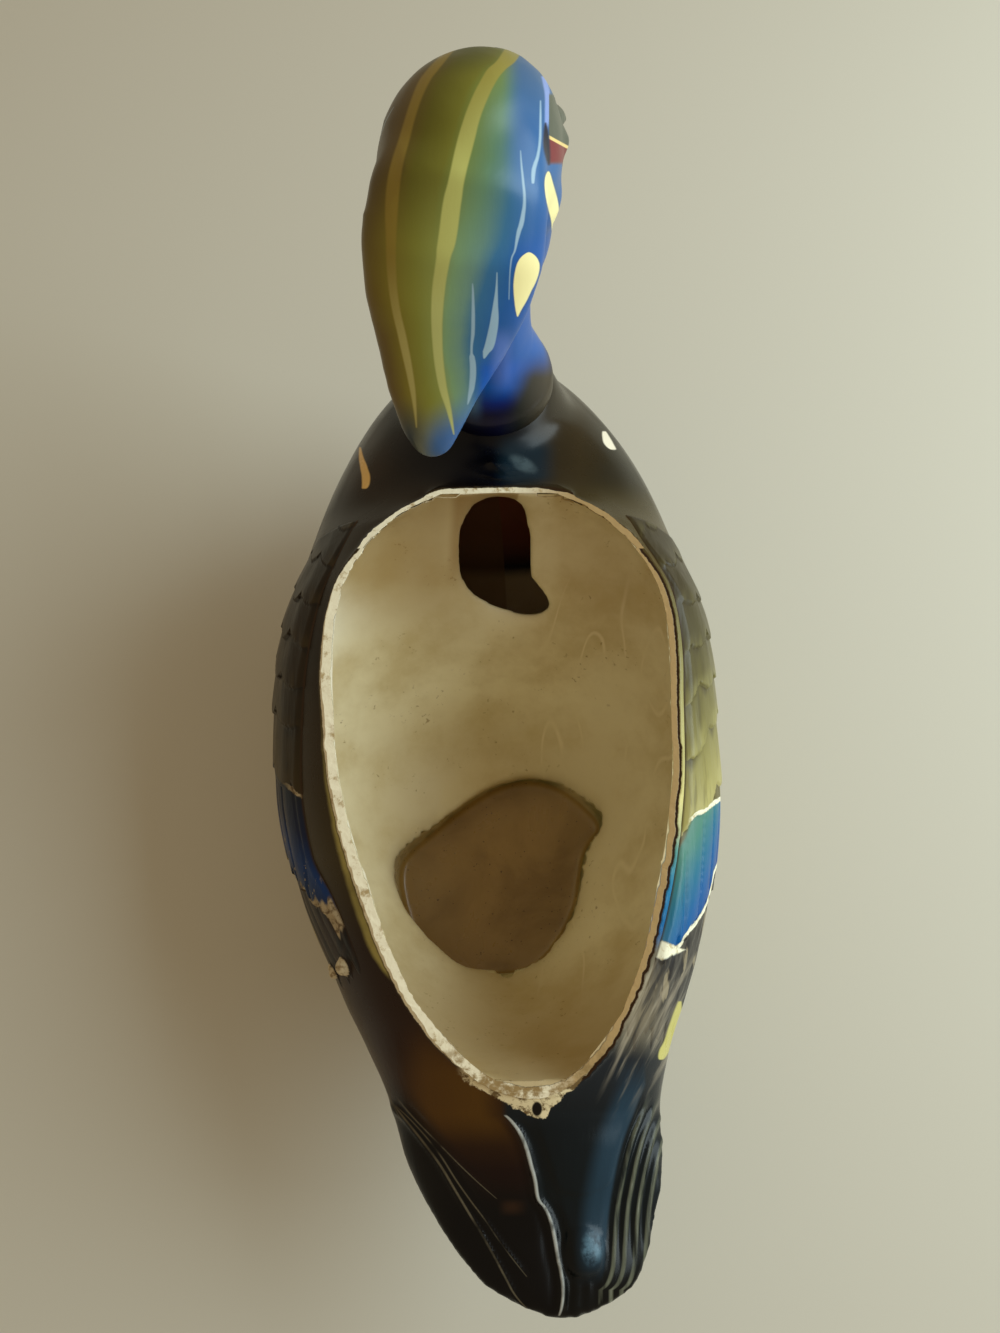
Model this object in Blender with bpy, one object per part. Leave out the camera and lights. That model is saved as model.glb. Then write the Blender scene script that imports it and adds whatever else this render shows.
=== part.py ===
"""Hollow ceramic duck planter, open in the back, standing on a hollow lobed foot.

Sizes are in millimetres and are turned into metres by MM. +Y points to the breast, +X to the duck's
right, +Z up. The origin is on the flat underside of the foot.
"""
import math

import bmesh
import bpy
from mathutils import Matrix, Vector

MM = 0.001

# Driving dimensions
WALL_THICKNESS = 3.8                      # cast wall at the flank
RIM_THICKNESS = 3.4                       # bare edge of the opening, measured level
SEAM = 0.3                                # gap left between two castings
WING_SEAM = 0.5                           # the same under the wings, which bridge the facets of the hull
HULL_HALF_WIDTH = 62.0                    # half-width of the hull at its fullest station
BELLY_DEPTH = 53.0                        # depth of the belly below the widest level
BACK_HEIGHT = 53.7                        # height that the closed back would have above the widest level
WIDEST_HEIGHT = 66.0                      # height of the widest level of the hull
HULL_MID_Y = 25.0                         # fullest station of the hull
FRONT_LENGTH = 124.0                      # from the fullest station to the tip of the breast
REAR_LENGTH = 107.0                       # from the fullest station to the joint with the tail
TAIL_LENGTH = 43.0                        # from that joint to the end of the tail
TAIL_SWING = 9.0                          # how far the tail turns to the duck's right
TAIL_LIFT = 12.0                          # how far the tail rises
RIM_HEIGHT, RIM_SLOPE = 100.0, 0.063      # the opening is cut along a plane that rises forward
SWAY = 2.5                                # the back leans this far to the right at the rim
NECK_X, NECK_Y, NECK_HEIGHT, NECK_RADIUS = -3.0, 112.0, 108.0, 17.5
SOCKET_RADIUS = 13.0                      # hole in the neck root that takes the head casting's spigot
SPIGOT_LENGTH = 10.0
HEAD_THICKNESS = 5.0
NECK_LENGTH = 69.0                        # from the joint to the middle of the skull
HEAD_SHIFT = Vector((-3.2, 7.5))          # the skull stands this far left of and before the joint
HEAD_R = Vector((20.0, 26.5, 21.5))
HEAD_YAW, HEAD_PITCH = -24.0, -8.0        # the face turns to the duck's right and nods
EYE_RADIUS = 3.2
BILL_LENGTH, BILL_HALF_WIDTH = 21.5, 8.2
CREST_LENGTH = 48.0                       # from the middle of the skull down to the tip of the crest
WING_THICKNESS = 3.0
FOOT_HALF_WIDTH, FOOT_HALF_LENGTH, FOOT_SHIFT = 43.0, 53.0, -3.0
FOOT_FLOOR_THICKNESS = 5.0                # thickness of the closed floor of the foot
BOWL_FLOOR_HEIGHT = 18.0                  # level of the bottom of the bowl
WELL_RADIUS = 32.0                        # mean radius of the well
WELL_SHIFT = -15.0                        # the well lies behind the middle of the foot
DRAIN_HEIGHT = 34.5                       # height of the drain hole in the front wall of the bowl
CUT_OVER = 6.0                            # how far a cutter passes the wall that it opens

SEGS = 42                  # points round the hull
HULL_REAR_Y = HULL_MID_Y - REAR_LENGTH
HULL_TIP_Y = HULL_MID_Y + FRONT_LENGTH
TAIL_END_Y = HULL_REAR_Y - TAIL_LENGTH
HEAD_C = Vector((NECK_X + HEAD_SHIFT.x, NECK_Y + HEAD_SHIFT.y, NECK_HEIGHT + NECK_LENGTH))


def remove_everything():
    for item in list(bpy.data.objects):
        bpy.data.objects.remove(item, do_unlink=True)
    for mesh in list(bpy.data.meshes):
        bpy.data.meshes.remove(mesh)


remove_everything()
PART = bpy.context.scene.collection
CUTTERS = bpy.data.collections.new("cutters")
PART.children.link(CUTTERS)


def curve(points, t):
    """Smooth, non-overshooting curve through (t, value) points sorted by t."""
    n = len(points)
    if t <= points[0][0]:
        return points[0][1]
    if t >= points[-1][0]:
        return points[-1][1]
    step = [(points[i + 1][1] - points[i][1]) / (points[i + 1][0] - points[i][0]) for i in range(n - 1)]
    slope = [step[0]]
    for i in range(1, n - 1):
        a, b = step[i - 1], step[i]
        slope.append(0.0 if a * b <= 0 else 2 * a * b / (a + b))
    slope.append(step[-1])
    for i in range(n - 1):
        t0, t1 = points[i][0], points[i + 1][0]
        if t <= t1:
            h = t1 - t0
            s = (t - t0) / h
            return ((2 * s ** 3 - 3 * s ** 2 + 1) * points[i][1] + (s ** 3 - 2 * s ** 2 + s) * h * slope[i]
                    + (-2 * s ** 3 + 3 * s ** 2) * points[i + 1][1] + (s ** 3 - s ** 2) * h * slope[i + 1])


# Shares of the hull's sizes at stations along its length: -2 at the end of the tail, -1 at the joint
# with the tail, 0 at the fullest station and 1 at the tip of the breast
WIDTH = [(-1.97, 0.09), (-1.93, 0.17), (-1.84, 0.285), (-1.55, 0.42), (-1.25, 0.508), (-1, 0.545),
         (-0.86, 0.635), (-0.757, 0.717), (-0.514, 0.87), (-0.234, 0.975), (0.03, 1.0), (0.29, 1.015),
         (1, 1.035)]
RISE = [(-2, 0.03), (-1.84, 0.07), (-1.55, 0.125), (-1.3, 0.22), (-1, 0.361), (-0.963, 0.41), (-0.86, 0.553),
        (-0.757, 0.68), (-0.542, 0.838), (-0.308, 0.927), (-0.065, 1.0), (0.174, 1.061), (0.29, 0.987),
        (0.369, 0.922), (0.444, 0.84), (0.605, 0.875), (0.766, 0.875), (1, 0.82)]
DEPTH = [(-2, 0.04), (-1.84, 0.09), (-1.55, 0.18), (-1.3, 0.32), (-1, 0.49), (-0.757, 0.717), (-0.514, 0.906),
         (-0.234, 1.0), (0.03, 1.02), (0.29, 1.038), (0.573, 1.056), (0.782, 0.98), (1, 0.87)]
LIFT = [(-2, 1.62), (-1.55, 1.17), (-1, 0.667), (-0.86, 0.33), (-0.757, 0.167), (-0.514, 0.0), (1, 0.0)]
SWING = [(-2, 1.5), (-1.84, 1.38), (-1.55, 1.08), (-1.28, 0.86), (-1, 0.64), (-0.757, 0.33), (-0.514, 0.11),
         (-0.234, -0.13), (0.03, -0.26), (0.29, -0.28), (0.605, -0.39), (0.782, -0.55), (1, -0.75)]


def station(y):
    """Share of the length at y, as the tables above count it."""
    if y >= HULL_MID_Y:
        return (y - HULL_MID_Y) / FRONT_LENGTH
    if y >= HULL_REAR_Y:
        return (y - HULL_MID_Y) / REAR_LENGTH
    return -1.0 + (y - HULL_REAR_Y) / TAIL_LENGTH


def taper(y):
    """How far the hull has closed towards the breast, 1 at its fullest and 0 at the tip."""
    s = min(max(station(y), 0.0), 1.0)
    return (1.0 - s ** 1.8) ** (1 / 1.8)


def half_width(y):
    return HULL_HALF_WIDTH * curve(WIDTH, station(y)) * taper(y)


def rise(y):
    return BACK_HEIGHT * curve(RISE, station(y)) * taper(y)


def depth(y):
    return BELLY_DEPTH * curve(DEPTH, station(y)) * taper(y)


def level(y):
    return WIDEST_HEIGHT + TAIL_LIFT * curve(LIFT, station(y))


def middle(y, z):
    """X of the centre line, which swings with the tail and leans above the widest level."""
    lean = max(0.0, z - WIDEST_HEIGHT) / (RIM_HEIGHT - WIDEST_HEIGHT)
    return TAIL_SWING * curve(SWING, station(y)) + SWAY * lean


def hull_point(y, angle, grow=0.0):
    """Point of the hull's surface at a station and an angle up from the duck's right side."""
    tall = (rise(y) if math.sin(angle) > 0 else depth(y)) + grow
    z = level(y) + tall * math.sin(angle)
    return Vector((middle(y, z) + (half_width(y) + grow) * math.cos(angle), y, z))


def hull_side(y, z):
    """Half-width of the hull at a station and a height."""
    tall = rise(y) if z > level(y) else depth(y)
    q = min(abs(z - level(y)) / max(tall, 0.01), 1.0)
    return half_width(y) * math.sqrt(1.0 - q * q)


def rim_height(y):
    return RIM_HEIGHT + RIM_SLOPE * y


def add_object(name, bm, collection=PART, colour=None, rough=0.35):
    bmesh.ops.remove_doubles(bm, verts=bm.verts, dist=1e-7)
    bmesh.ops.recalc_face_normals(bm, faces=bm.faces)
    mesh = bpy.data.meshes.new(name)
    bm.to_mesh(mesh)
    bm.free()
    item = bpy.data.objects.new(name, mesh)
    collection.objects.link(item)
    if collection is CUTTERS:
        item.hide_render = True
        item.display_type = "WIRE"
    for face in mesh.polygons:
        face.use_smooth = True
    if colour:
        paint = bpy.data.materials.new(name)
        paint.use_nodes = True
        shader = paint.node_tree.nodes["Principled BSDF"]
        shader.inputs["Base Color"].default_value = (*colour, 1.0)
        shader.inputs["Roughness"].default_value = rough
        mesh.materials.append(paint)
    return item


def loft(rings, start_pole=None, end_pole=None):
    """Closed body through rings of equal length, ended by flat caps or by poles."""
    bm = bmesh.new()
    rows = [[bm.verts.new(p * MM) for p in ring] for ring in rings]
    n = len(rows[0])
    for a, b in zip(rows, rows[1:]):
        for i in range(n):
            bm.faces.new((a[i], a[(i + 1) % n], b[(i + 1) % n], b[i]))
    for row, pole in ((rows[0], start_pole), (rows[-1], end_pole)):
        if pole is None:
            bm.faces.new(row)
        else:
            tip = bm.verts.new(pole * MM)
            for i in range(n):
                bm.faces.new((row[i], row[(i + 1) % n], tip))
    return bm


def carve(target, cutter, operation="DIFFERENCE"):
    step = target.modifiers.new(operation.lower() + "_" + cutter.name, "BOOLEAN")
    step.object = cutter
    step.operation = operation
    step.solver = "EXACT"


def ring_of(points_at, count):
    return [points_at(2 * math.pi * i / count) for i in range(count)]


def level_ring(x, y, z, r, count=30):
    return ring_of(lambda a: Vector((x + r * math.cos(a), y + r * math.sin(a), z)), count)


def prism(name, outline, low, high, plane="XY"):
    """Straight body over an outline, between two levels of the remaining axis."""
    def place(p, at):
        return Vector((p[0], p[1], at)) if plane == "XY" else Vector((p[0], at, p[1]))
    return add_object(name, loft([[place(p, at) for p in outline] for at in (low, high)]), CUTTERS)


def ball(name, centre, radii, turn=Matrix.Identity(4), segs=28, narrow=0.0):
    """Ellipsoid, optionally narrowed towards its +Y end."""
    bm = bmesh.new()
    bmesh.ops.create_uvsphere(bm, u_segments=segs, v_segments=segs // 2, radius=1.0)
    for v in bm.verts:
        slim = 1.0 - narrow * max(0.0, v.co.y)
        local = Vector((v.co.x * radii[0] * slim, v.co.y * radii[1], v.co.z * radii[2] * slim))
        v.co = (turn @ local + centre) * MM
    return add_object(name, bm, CUTTERS)


def rounded(points, steps=3):
    """Closed smooth outline through a few points."""
    out, n = [], len(points)
    for i in range(n):
        near = [points[(i + j - 1) % n] for j in range(4)]
        for s in range(steps):
            t = s / steps
            out.append(tuple(0.5 * (2 * b + (c - a) * t + (2 * a - 5 * b + 4 * c - d) * t * t
                                    + (3 * b - a - 3 * c + d) * t ** 3) for a, b, c, d in zip(*near)))
    return out


# Hull, cut open along the tilted rim plane
def hull_body(name, grow, collection, colour=None, first=None):
    if first is None:
        stations = [HULL_MID_Y - REAR_LENGTH * (11 - i) / 11 for i in range(12)]
        stations[0] -= grow
    else:
        stations = [first]
    reach = [HULL_MID_Y + (FRONT_LENGTH + min(grow, 0)) * math.sin(math.radians(a)) for a in range(6, 90, 6)]
    stations += [y for y in reach if y > stations[-1] + 1.0]
    rings = [ring_of(lambda a: hull_point(y, a, grow), SEGS) for y in stations]
    tip = Vector((middle(HULL_TIP_Y, WIDEST_HEIGHT), HULL_TIP_Y + grow, WIDEST_HEIGHT))
    return add_object(name, loft(rings, end_pole=tip), collection, colour)


body = hull_body("body_bowl", 0.0, PART, colour=(0.05, 0.055, 0.03))

HULL_LENGTH = FRONT_LENGTH + REAR_LENGTH
top = bmesh.new()
bmesh.ops.create_cube(top, size=1.0)
for v in top.verts:
    y = HULL_MID_Y + v.co.y * 2 * HULL_LENGTH
    z = rim_height(y) if v.co.z < 0 else RIM_HEIGHT + 2 * BACK_HEIGHT
    v.co = Vector((v.co.x * 4 * HULL_HALF_WIDTH, y, z)) * MM
rim_cutter = add_object("rim_cutter", top, CUTTERS)
carve(body, rim_cutter)

# Raised root of the neck, on which the head casting is luted: share of the way down, set back, radius
ROOT = [(-29.0, -8.0, NECK_RADIUS + 12.5), (-21.0, -5.5, NECK_RADIUS + 9.5), (-14.0, -3.2, NECK_RADIUS + 6.1),
        (-8.0, -1.5, NECK_RADIUS + 3.1), (-3.5, -0.5, NECK_RADIUS + 1.2), (0.0, 0.0, NECK_RADIUS)]
neck_root = add_object("neck_root", loft([level_ring(NECK_X, NECK_Y + back, NECK_HEIGHT + down, r, 32)
                                          for down, back, r in ROOT]), CUTTERS)
carve(body, neck_root, "UNION")

# Inside of the bowl: level outlines that keep the cast wall and close in front and behind. Heights are
# shares of the way from the bottom of the bowl to the rim, ends are shares of the hull's lengths.
BOWL_FRONT = [(0, -0.024), (0.07, 0.04), (0.27, 0.145), (0.58, 0.266), (0.78, 0.355), (0.94, 0.411), (1, 0.419)]
BOWL_REAR = [(0, -0.6), (0.07, -0.67), (0.27, -0.757), (0.5, -0.85), (0.77, -0.907), (0.94, -0.935),
             (1, -0.935)]
BOWL_WALL = [(up, WALL_THICKNESS * share) for up, share in ((0, 2.1), (0.11, 1.6), (0.27, 1.25), (0.58, 1))]
BOWL_WALL.append((1, RIM_THICKNESS))
BOWL_SQUARE = [(0, 2.2), (0.5, 2.8), (0.82, 4.0), (0.97, 8.0)]
BOWL_MID_Y = HULL_MID_Y - 0.215 * REAR_LENGTH


def bowl_point(z, angle, grow=0.0):
    up = (min(z, RIM_HEIGHT) - BOWL_FLOOR_HEIGHT) / (RIM_HEIGHT - BOWL_FLOOR_HEIGHT)
    front = HULL_MID_Y + FRONT_LENGTH * curve(BOWL_FRONT, up)
    rear = HULL_MID_Y + REAR_LENGTH * curve(BOWL_REAR, up)
    power = curve(BOWL_SQUARE, up)
    y = BOWL_MID_Y + ((front if math.sin(angle) > 0 else rear) - BOWL_MID_Y) * abs(math.sin(angle))
    at = min(z, rim_height(y))
    wide = max(hull_side(y, at) - curve(BOWL_WALL, up), 1.0)
    wide = wide * (1.0 - abs(math.sin(angle)) ** power) ** (1 / power) + grow
    side = 1.0 if math.cos(angle) > 0 else -1.0
    return Vector((middle(y, at) + side * wide, y + grow * math.sin(angle), z))


BOWL_LEVELS = [0, 0.024, 0.073, 0.146, 0.25, 0.38, 0.5, 0.62, 0.75, 0.85, 0.93, 0.98, 1.02, 1.09]


def bowl_body(name, grow):
    rings = []
    for up in BOWL_LEVELS:
        z = BOWL_FLOOR_HEIGHT + up * (RIM_HEIGHT - BOWL_FLOOR_HEIGHT)
        rings.append([p - Vector((0, 0, grow if up < 0.5 else 0))
                      for p in ring_of(lambda a: bowl_point(z, a + 0.04, grow), 42)])
    rings.append([p + Vector((0, 0, BACK_HEIGHT / 2)) for p in rings[-1]])
    return add_object(name, loft(rings), CUTTERS)


bowl_cutter = bowl_body("bowl_cutter", 0.0)
bowl_skin = bowl_body("bowl_skin", WALL_THICKNESS)

# Hollow breast, left where the outer wall and the wall of the bowl part, open to bowl and neck
breast_hollow = hull_body("breast_hollow", -WALL_THICKNESS - 0.6, CUTTERS,
                          first=HULL_MID_Y + 0.1 * FRONT_LENGTH)
carve(breast_hollow, bowl_skin)

# Boot-shaped drain hole in the front wall of the bowl, as shares of its height: across, then up
BOOT = [(-0.25, 0.825), (-0.116, 0.985), (0.087, 1.0), (0.168, 0.855), (0.18, 0.507), (0.203, 0.333),
        (0.319, 0.203), (0.42, 0.116), (0.362, 0.0), (0.145, 0.03), (-0.087, 0.13), (-0.26, 0.275),
        (-0.278, 0.565)]
BOOT_REACH = 0.54          # share of the hull's front up to which the hole runs
boot_outline = [(DRAIN_HEIGHT * x, WIDEST_HEIGHT + DRAIN_HEIGHT * (z - 0.1)) for x, z in rounded(BOOT)]
boot_hole = prism("boot_hole", boot_outline, HULL_MID_Y, HULL_MID_Y + FRONT_LENGTH * BOOT_REACH, "XZ")
carve(breast_hollow, boot_hole, "UNION")

socket = add_object("socket", loft([level_ring(NECK_X, NECK_Y, z, SOCKET_RADIUS, 28)
                                    for z in (NECK_HEIGHT - 26, NECK_HEIGHT + CUT_OVER)]), CUTTERS)

# Lobed well through the floor of the bowl into the hollow foot, as shares of its mean radius
LOBES = [(-1.03, 0.14), (-0.72, 0.44), (-0.31, 0.77), (0, 0.94), (0.31, 1.0), (0.625, 0.92), (0.875, 0.73),
         (1.06, 0.5), (0.92, 0.31), (0.84, 0.1), (0.8, -0.2), (0.69, -0.48), (0.53, -0.72), (0.31, -0.92),
         (0, -0.97), (-0.39, -0.94), (-0.69, -0.78), (-0.875, -0.62), (-0.95, -0.41), (-1.015, -0.19)]


def well_outline(grow):
    return [((WELL_RADIUS + grow) * x, WELL_SHIFT + (WELL_RADIUS + grow) * y) for x, y in rounded(LOBES, 2)]


BELLY_HEIGHT = WIDEST_HEIGHT - BELLY_DEPTH * 1.02
well_hole = prism("well_hole", well_outline(0.0), BELLY_HEIGHT - CUT_OVER, BOWL_FLOOR_HEIGHT + 2 * CUT_OVER)

# Pocket in the rump, closed off by the tail
POCKET = 0.62
pocket = add_object("pocket", loft([[Vector((middle(HULL_REAR_Y, 0), y, level(HULL_REAR_Y)))
                                     + Vector((half_width(HULL_REAR_Y) * POCKET * s * math.cos(a), 0,
                                               depth(HULL_REAR_Y) * POCKET * s * math.sin(a) - 3))
                                     for a in (2 * math.pi * i / 24 for i in range(24))]
                                    for y, s in ((HULL_REAR_Y - CUT_OVER, 1), (HULL_REAR_Y + 3, 1),
                                                 (HULL_REAR_Y + 7, 0.7))]), CUTTERS)

for cutter in (bowl_cutter, breast_hollow, socket, well_hole, pocket):
    carve(body, cutter)


# Foot: a low lobed mound with a closed floor
def foot_point(a, z):
    spread = curve([(0, 0.0), (3, 0.6), (14, -3.5), (34, -5.0)], z)
    lobes = 1.0 + 0.022 * math.sin(5 * a + 0.6) + 0.014 * math.sin(9 * a)
    return Vector(((FOOT_HALF_WIDTH + spread) * lobes * math.cos(a),
                   FOOT_SHIFT + (FOOT_HALF_LENGTH + spread) * lobes * math.sin(a), z))


FOOT_LEVELS = (0, 1.2, 4, 9, 14, 22, WIDEST_HEIGHT - 0.6 * BELLY_DEPTH)
foot = add_object("plinth_base", loft([ring_of(lambda a: foot_point(a, z), 48) for z in FOOT_LEVELS]), PART,
                  (0.55, 0.5, 0.38), 0.5)
hull_seat = hull_body("hull_seat", SEAM, CUTTERS)
carve(foot, hull_seat)
foot_hollow = prism("foot_hollow", well_outline(1.0), FOOT_FLOOR_THICKNESS, WIDEST_HEIGHT)
carve(foot, foot_hollow)


# Tail: a fan of long feathers, hollow at its root
def tail_point(y, a):
    tall = rise(y) if math.sin(a) > 0 else depth(y)
    out = (HULL_REAR_Y - y) / TAIL_LENGTH
    feathers = abs(math.sin(6.5 * a)) - 0.5
    z = level(y) + tall * math.sin(a) * (1.0 + 0.16 * feathers * min(1.0, 3 * out))
    wide = half_width(y) * (1.0 + 0.02 * feathers * min(1.0, 3 * out))
    return Vector((middle(HULL_REAR_Y, z) - middle(HULL_REAR_Y, 0) + middle(y, 0) + wide * math.cos(a), y, z))


tail_shares = [0.0, 0.07, 0.16, 0.27, 0.38, 0.5, 0.62, 0.72, 0.81, 0.88, 0.94, 0.975]
tail_rings = [ring_of(lambda a: tail_point(y, a), 52)
              for y in (HULL_REAR_Y - SEAM - s * (TAIL_LENGTH - SEAM) for s in tail_shares)]
tail_tip = Vector((middle(TAIL_END_Y, 0), TAIL_END_Y, level(TAIL_END_Y)))
tail = add_object("tail_fan", loft(tail_rings, end_pole=tail_tip), PART, (0.02, 0.022, 0.03))
POCKET_WIDE, POCKET_DEEP = half_width(HULL_REAR_Y) * POCKET, depth(HULL_REAR_Y) * POCKET
tail_pocket = add_object("tail_pocket", loft([
    ring_of(lambda a: Vector((middle(HULL_REAR_Y - out, 0) + POCKET_WIDE * s * math.cos(a), HULL_REAR_Y - out,
                              level(HULL_REAR_Y) + POCKET_DEEP * s * t * math.sin(a) - 3 + out / 2)),
            24) for out, s, t in ((-CUT_OVER, 1, 1), (2, 1, 1), (9, 0.84, 0.55), (14, 0.6, 0.24))]), CUTTERS)
carve(tail, tail_pocket)


# Wings: raised plates that follow the hull, with rows of scalloped coverts and long primaries
WING_FRONT, WING_REAR = 0.27, -0.85   # shares of the hull's lengths
WING_TOP = [(0, 22), (0.12, 33), (0.45, 38), (0.8, 32), (1, 23)]
WING_LOW = [(0, 14), (0.1, -6), (0.35, -20), (0.65, -12), (0.85, 3), (1, 16)]
COVERT_ROWS, PRIMARIES, COVERT_SHARE = 5.0, 4.0, 0.66


def feather_relief(u, v):
    """0 to 1: each covert row rises to a scalloped edge, each primary to a ridge."""
    row = (u / COVERT_SHARE * COVERT_ROWS + 0.42 * abs(math.sin(3.5 * math.pi * v + 1.6 * (u > 0.3)))) % 1.0
    ridge = abs(math.sin(PRIMARIES * math.pi * v))
    blend = min(max((u - COVERT_SHARE) / 0.06, 0.0), 1.0)
    return row * (1 - blend) + ridge * blend


def wing(name, side, colour, rows=35, across=12):
    front = HULL_MID_Y + WING_FRONT * FRONT_LENGTH
    rear = HULL_MID_Y + WING_REAR * REAR_LENGTH

    def at(u, v, outer):
        y = front + (rear - front) * u
        high, low = math.radians(curve(WING_TOP, u)), math.radians(curve(WING_LOW, u))
        angle = high + (low - high) * v
        edge = min(1.0, 3.2 * min(u, 1 - u) + 0.2) * min(1.0, 2.6 * min(v, 1 - v) + 0.2)
        lift = WING_SEAM
        if outer:
            lift += WING_THICKNESS * (0.3 + 0.7 * edge) + 0.24 * WING_THICKNESS * feather_relief(u, v)
        angle = angle if side > 0 else math.pi - angle
        base = hull_point(y, angle)
        return base + (hull_point(y, angle, 1.0) - base).normalized() * lift

    bm = bmesh.new()
    grid = [[[bm.verts.new(at(i / (rows - 1), j / (across - 1), outer) * MM) for j in range(across)]
             for i in range(rows)] for outer in (True, False)]
    for sheet in grid:
        for i in range(rows - 1):
            for j in range(across - 1):
                bm.faces.new((sheet[i][j], sheet[i + 1][j], sheet[i + 1][j + 1], sheet[i][j + 1]))
    for i in range(rows - 1):
        for j in (0, across - 1):
            bm.faces.new((grid[0][i][j], grid[0][i + 1][j], grid[1][i + 1][j], grid[1][i][j]))
    for j in range(across - 1):
        for i in (0, rows - 1):
            bm.faces.new((grid[0][i][j], grid[0][i][j + 1], grid[1][i][j + 1], grid[1][i][j]))
    return add_object(name, bm, PART, colour)


wing("wing_right", 1, (0.2, 0.21, 0.07))
wing("wing_left", -1, (0.03, 0.05, 0.12))

# Head casting: neck, skull, cheeks, eyes and bill in one, hollow down to a spigot.
# Neck stations: share of the way up from the joint to the skull, then radius as a share of the joint's.
NECK = [(0.0, 1.0), (0.12, 0.915), (0.28, 0.857), (0.45, 0.87), (0.61, 0.97), (0.76, 1.07), (0.93, 1.0),
        (1.07, 0.7)]


def neck_station(share, radius):
    lean = min(share / 0.75, 1.0)
    return (NECK_X + HEAD_SHIFT.x * lean, NECK_Y + HEAD_SHIFT.y * lean,
            NECK_HEIGHT + SEAM + (NECK_LENGTH - SEAM) * share, radius)


NECK_SPOTS = [neck_station(share, NECK_RADIUS * r) for share, r in NECK]
head = add_object("head_and_neck", loft([level_ring(*s) for s in NECK_SPOTS]), PART, (0.03, 0.12, 0.35))

TURN = (Matrix.Rotation(math.radians(HEAD_YAW), 4, "Z") @ Matrix.Rotation(math.radians(HEAD_PITCH), 4, "X"))


def on_head(x, y, z):
    """Place given as shares of the skull's radii, in the head's own turned frame."""
    return TURN @ Vector((x * HEAD_R.x, y * HEAD_R.y, z * HEAD_R.z)) + HEAD_C


def skull_body(name, grow, segs=26):
    return ball(name, HEAD_C, HEAD_R + Vector((grow, grow, grow)), TURN, segs, 0.12)


carve(head, skull_body("skull", 0.0), "UNION")
CHEEK_AT, CHEEK_SHARE = (0, 0.1, -0.36), (1.02, 0.66, 0.6)


def cheek_body(name, grow):
    return ball(name, on_head(*CHEEK_AT), [r * s + grow for r, s in zip(HEAD_R, CHEEK_SHARE)], TURN, 20)


carve(head, cheek_body("cheeks", 0.0), "UNION")

# Bill: flattened and drooping, broadest near its rounded end. Shares of its length and half-width.
BILL = [(-0.55, 0.16, 1.25, 1.3), (-0.1, 0.08, 1.12, 1.1), (0.3, -0.1, 0.98, 0.8), (0.62, -0.28, 0.98, 0.56),
        (0.84, -0.4, 0.92, 0.43), (0.95, -0.47, 0.7, 0.33), (1.0, -0.5, 0.4, 0.2)]
BILL_ROOT = HEAD_R.y * 0.86


def bill_place(out, drop, side=0.0, up=0.0):
    return TURN @ Vector((side, BILL_ROOT + out * BILL_LENGTH, drop * BILL_LENGTH - 4 + up)) + HEAD_C


bill_rings = [ring_of(lambda a: bill_place(out, drop, BILL_HALF_WIDTH * wide * math.cos(a),
                                           BILL_HALF_WIDTH * tall * math.sin(a)), 18)
              for out, drop, wide, tall in BILL]
bill = add_object("bill", loft(bill_rings, end_pole=bill_place(1.015, -0.51)), CUTTERS)
carve(head, bill, "UNION")

for name, side in (("eye_right", 1), ("eye_left", -1)):
    carve(head, ball(name, on_head(side * 0.74, 0.5, 0.06), [EYE_RADIUS] * 3, TURN, 12), "UNION")

spigot = add_object("spigot", loft([level_ring(NECK_X, NECK_Y, z, SOCKET_RADIUS - SEAM, 28)
                                    for z in (NECK_HEIGHT - SPIGOT_LENGTH, NECK_HEIGHT + 3)]), CUTTERS)
carve(head, spigot, "UNION")
bore_spots = [(NECK_X, NECK_Y, NECK_HEIGHT - SPIGOT_LENGTH - CUT_OVER, SOCKET_RADIUS - HEAD_THICKNESS + 1.2),
              (NECK_X, NECK_Y, NECK_HEIGHT + 2, SOCKET_RADIUS - HEAD_THICKNESS + 1.4)]
bore_spots += [neck_station(share, NECK_RADIUS * r - HEAD_THICKNESS + 0.4) for share, r in NECK[1:]]
bore = add_object("bore", loft([level_ring(*s, 22) for s in bore_spots]), CUTTERS)
carve(bore, skull_body("brain", -HEAD_THICKNESS, 20), "UNION")
carve(head, bore)

# Crest: the drooping mane of the crown, undercut behind the neck. Places are in shares of the skull's
# radii and of the drop, from the middle of the skull; then half-width and half-thickness.
CREST = [(0.0, 0.08, -0.06, 0.5, 0.3), (-0.05, -0.24, -0.19, 0.85, 0.52), (-0.13, -0.62, -0.155, 0.96, 0.53),
         (-0.19, -0.96, 0.0, 0.98, 0.45), (-0.27, -1.17, 0.19, 0.9, 0.38), (-0.36, -1.35, 0.385, 0.73, 0.32),
         (-0.47, -1.52, 0.59, 0.54, 0.26), (-0.52, -1.66, 0.8, 0.36, 0.2), (-0.52, -1.72, 0.935, 0.22, 0.14)]


def crest_body():
    spots = [HEAD_C + Vector((x * HEAD_R.x, y * HEAD_R.y, -drop * CREST_LENGTH)) for x, y, drop, w, t in CREST]
    rings = []
    for i, (x, y, drop, wide, thick) in enumerate(CREST):
        along = (spots[min(i + 1, len(spots) - 1)] - spots[max(i - 1, 0)]).normalized()
        side = Vector((1, 0.12, 0))
        side = (side - along * side.dot(along)).normalized()
        up = along.cross(side)
        rings.append(ring_of(lambda a: spots[i] + side * wide * HEAD_R.x * math.cos(a)
                             + up * thick * HEAD_R.z * math.sin(a), 28))
    tip = HEAD_C + Vector((CREST[-1][0] * HEAD_R.x, CREST[-1][1] * HEAD_R.y - 0.6, -CREST_LENGTH))
    return loft(rings, end_pole=tip)


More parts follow.
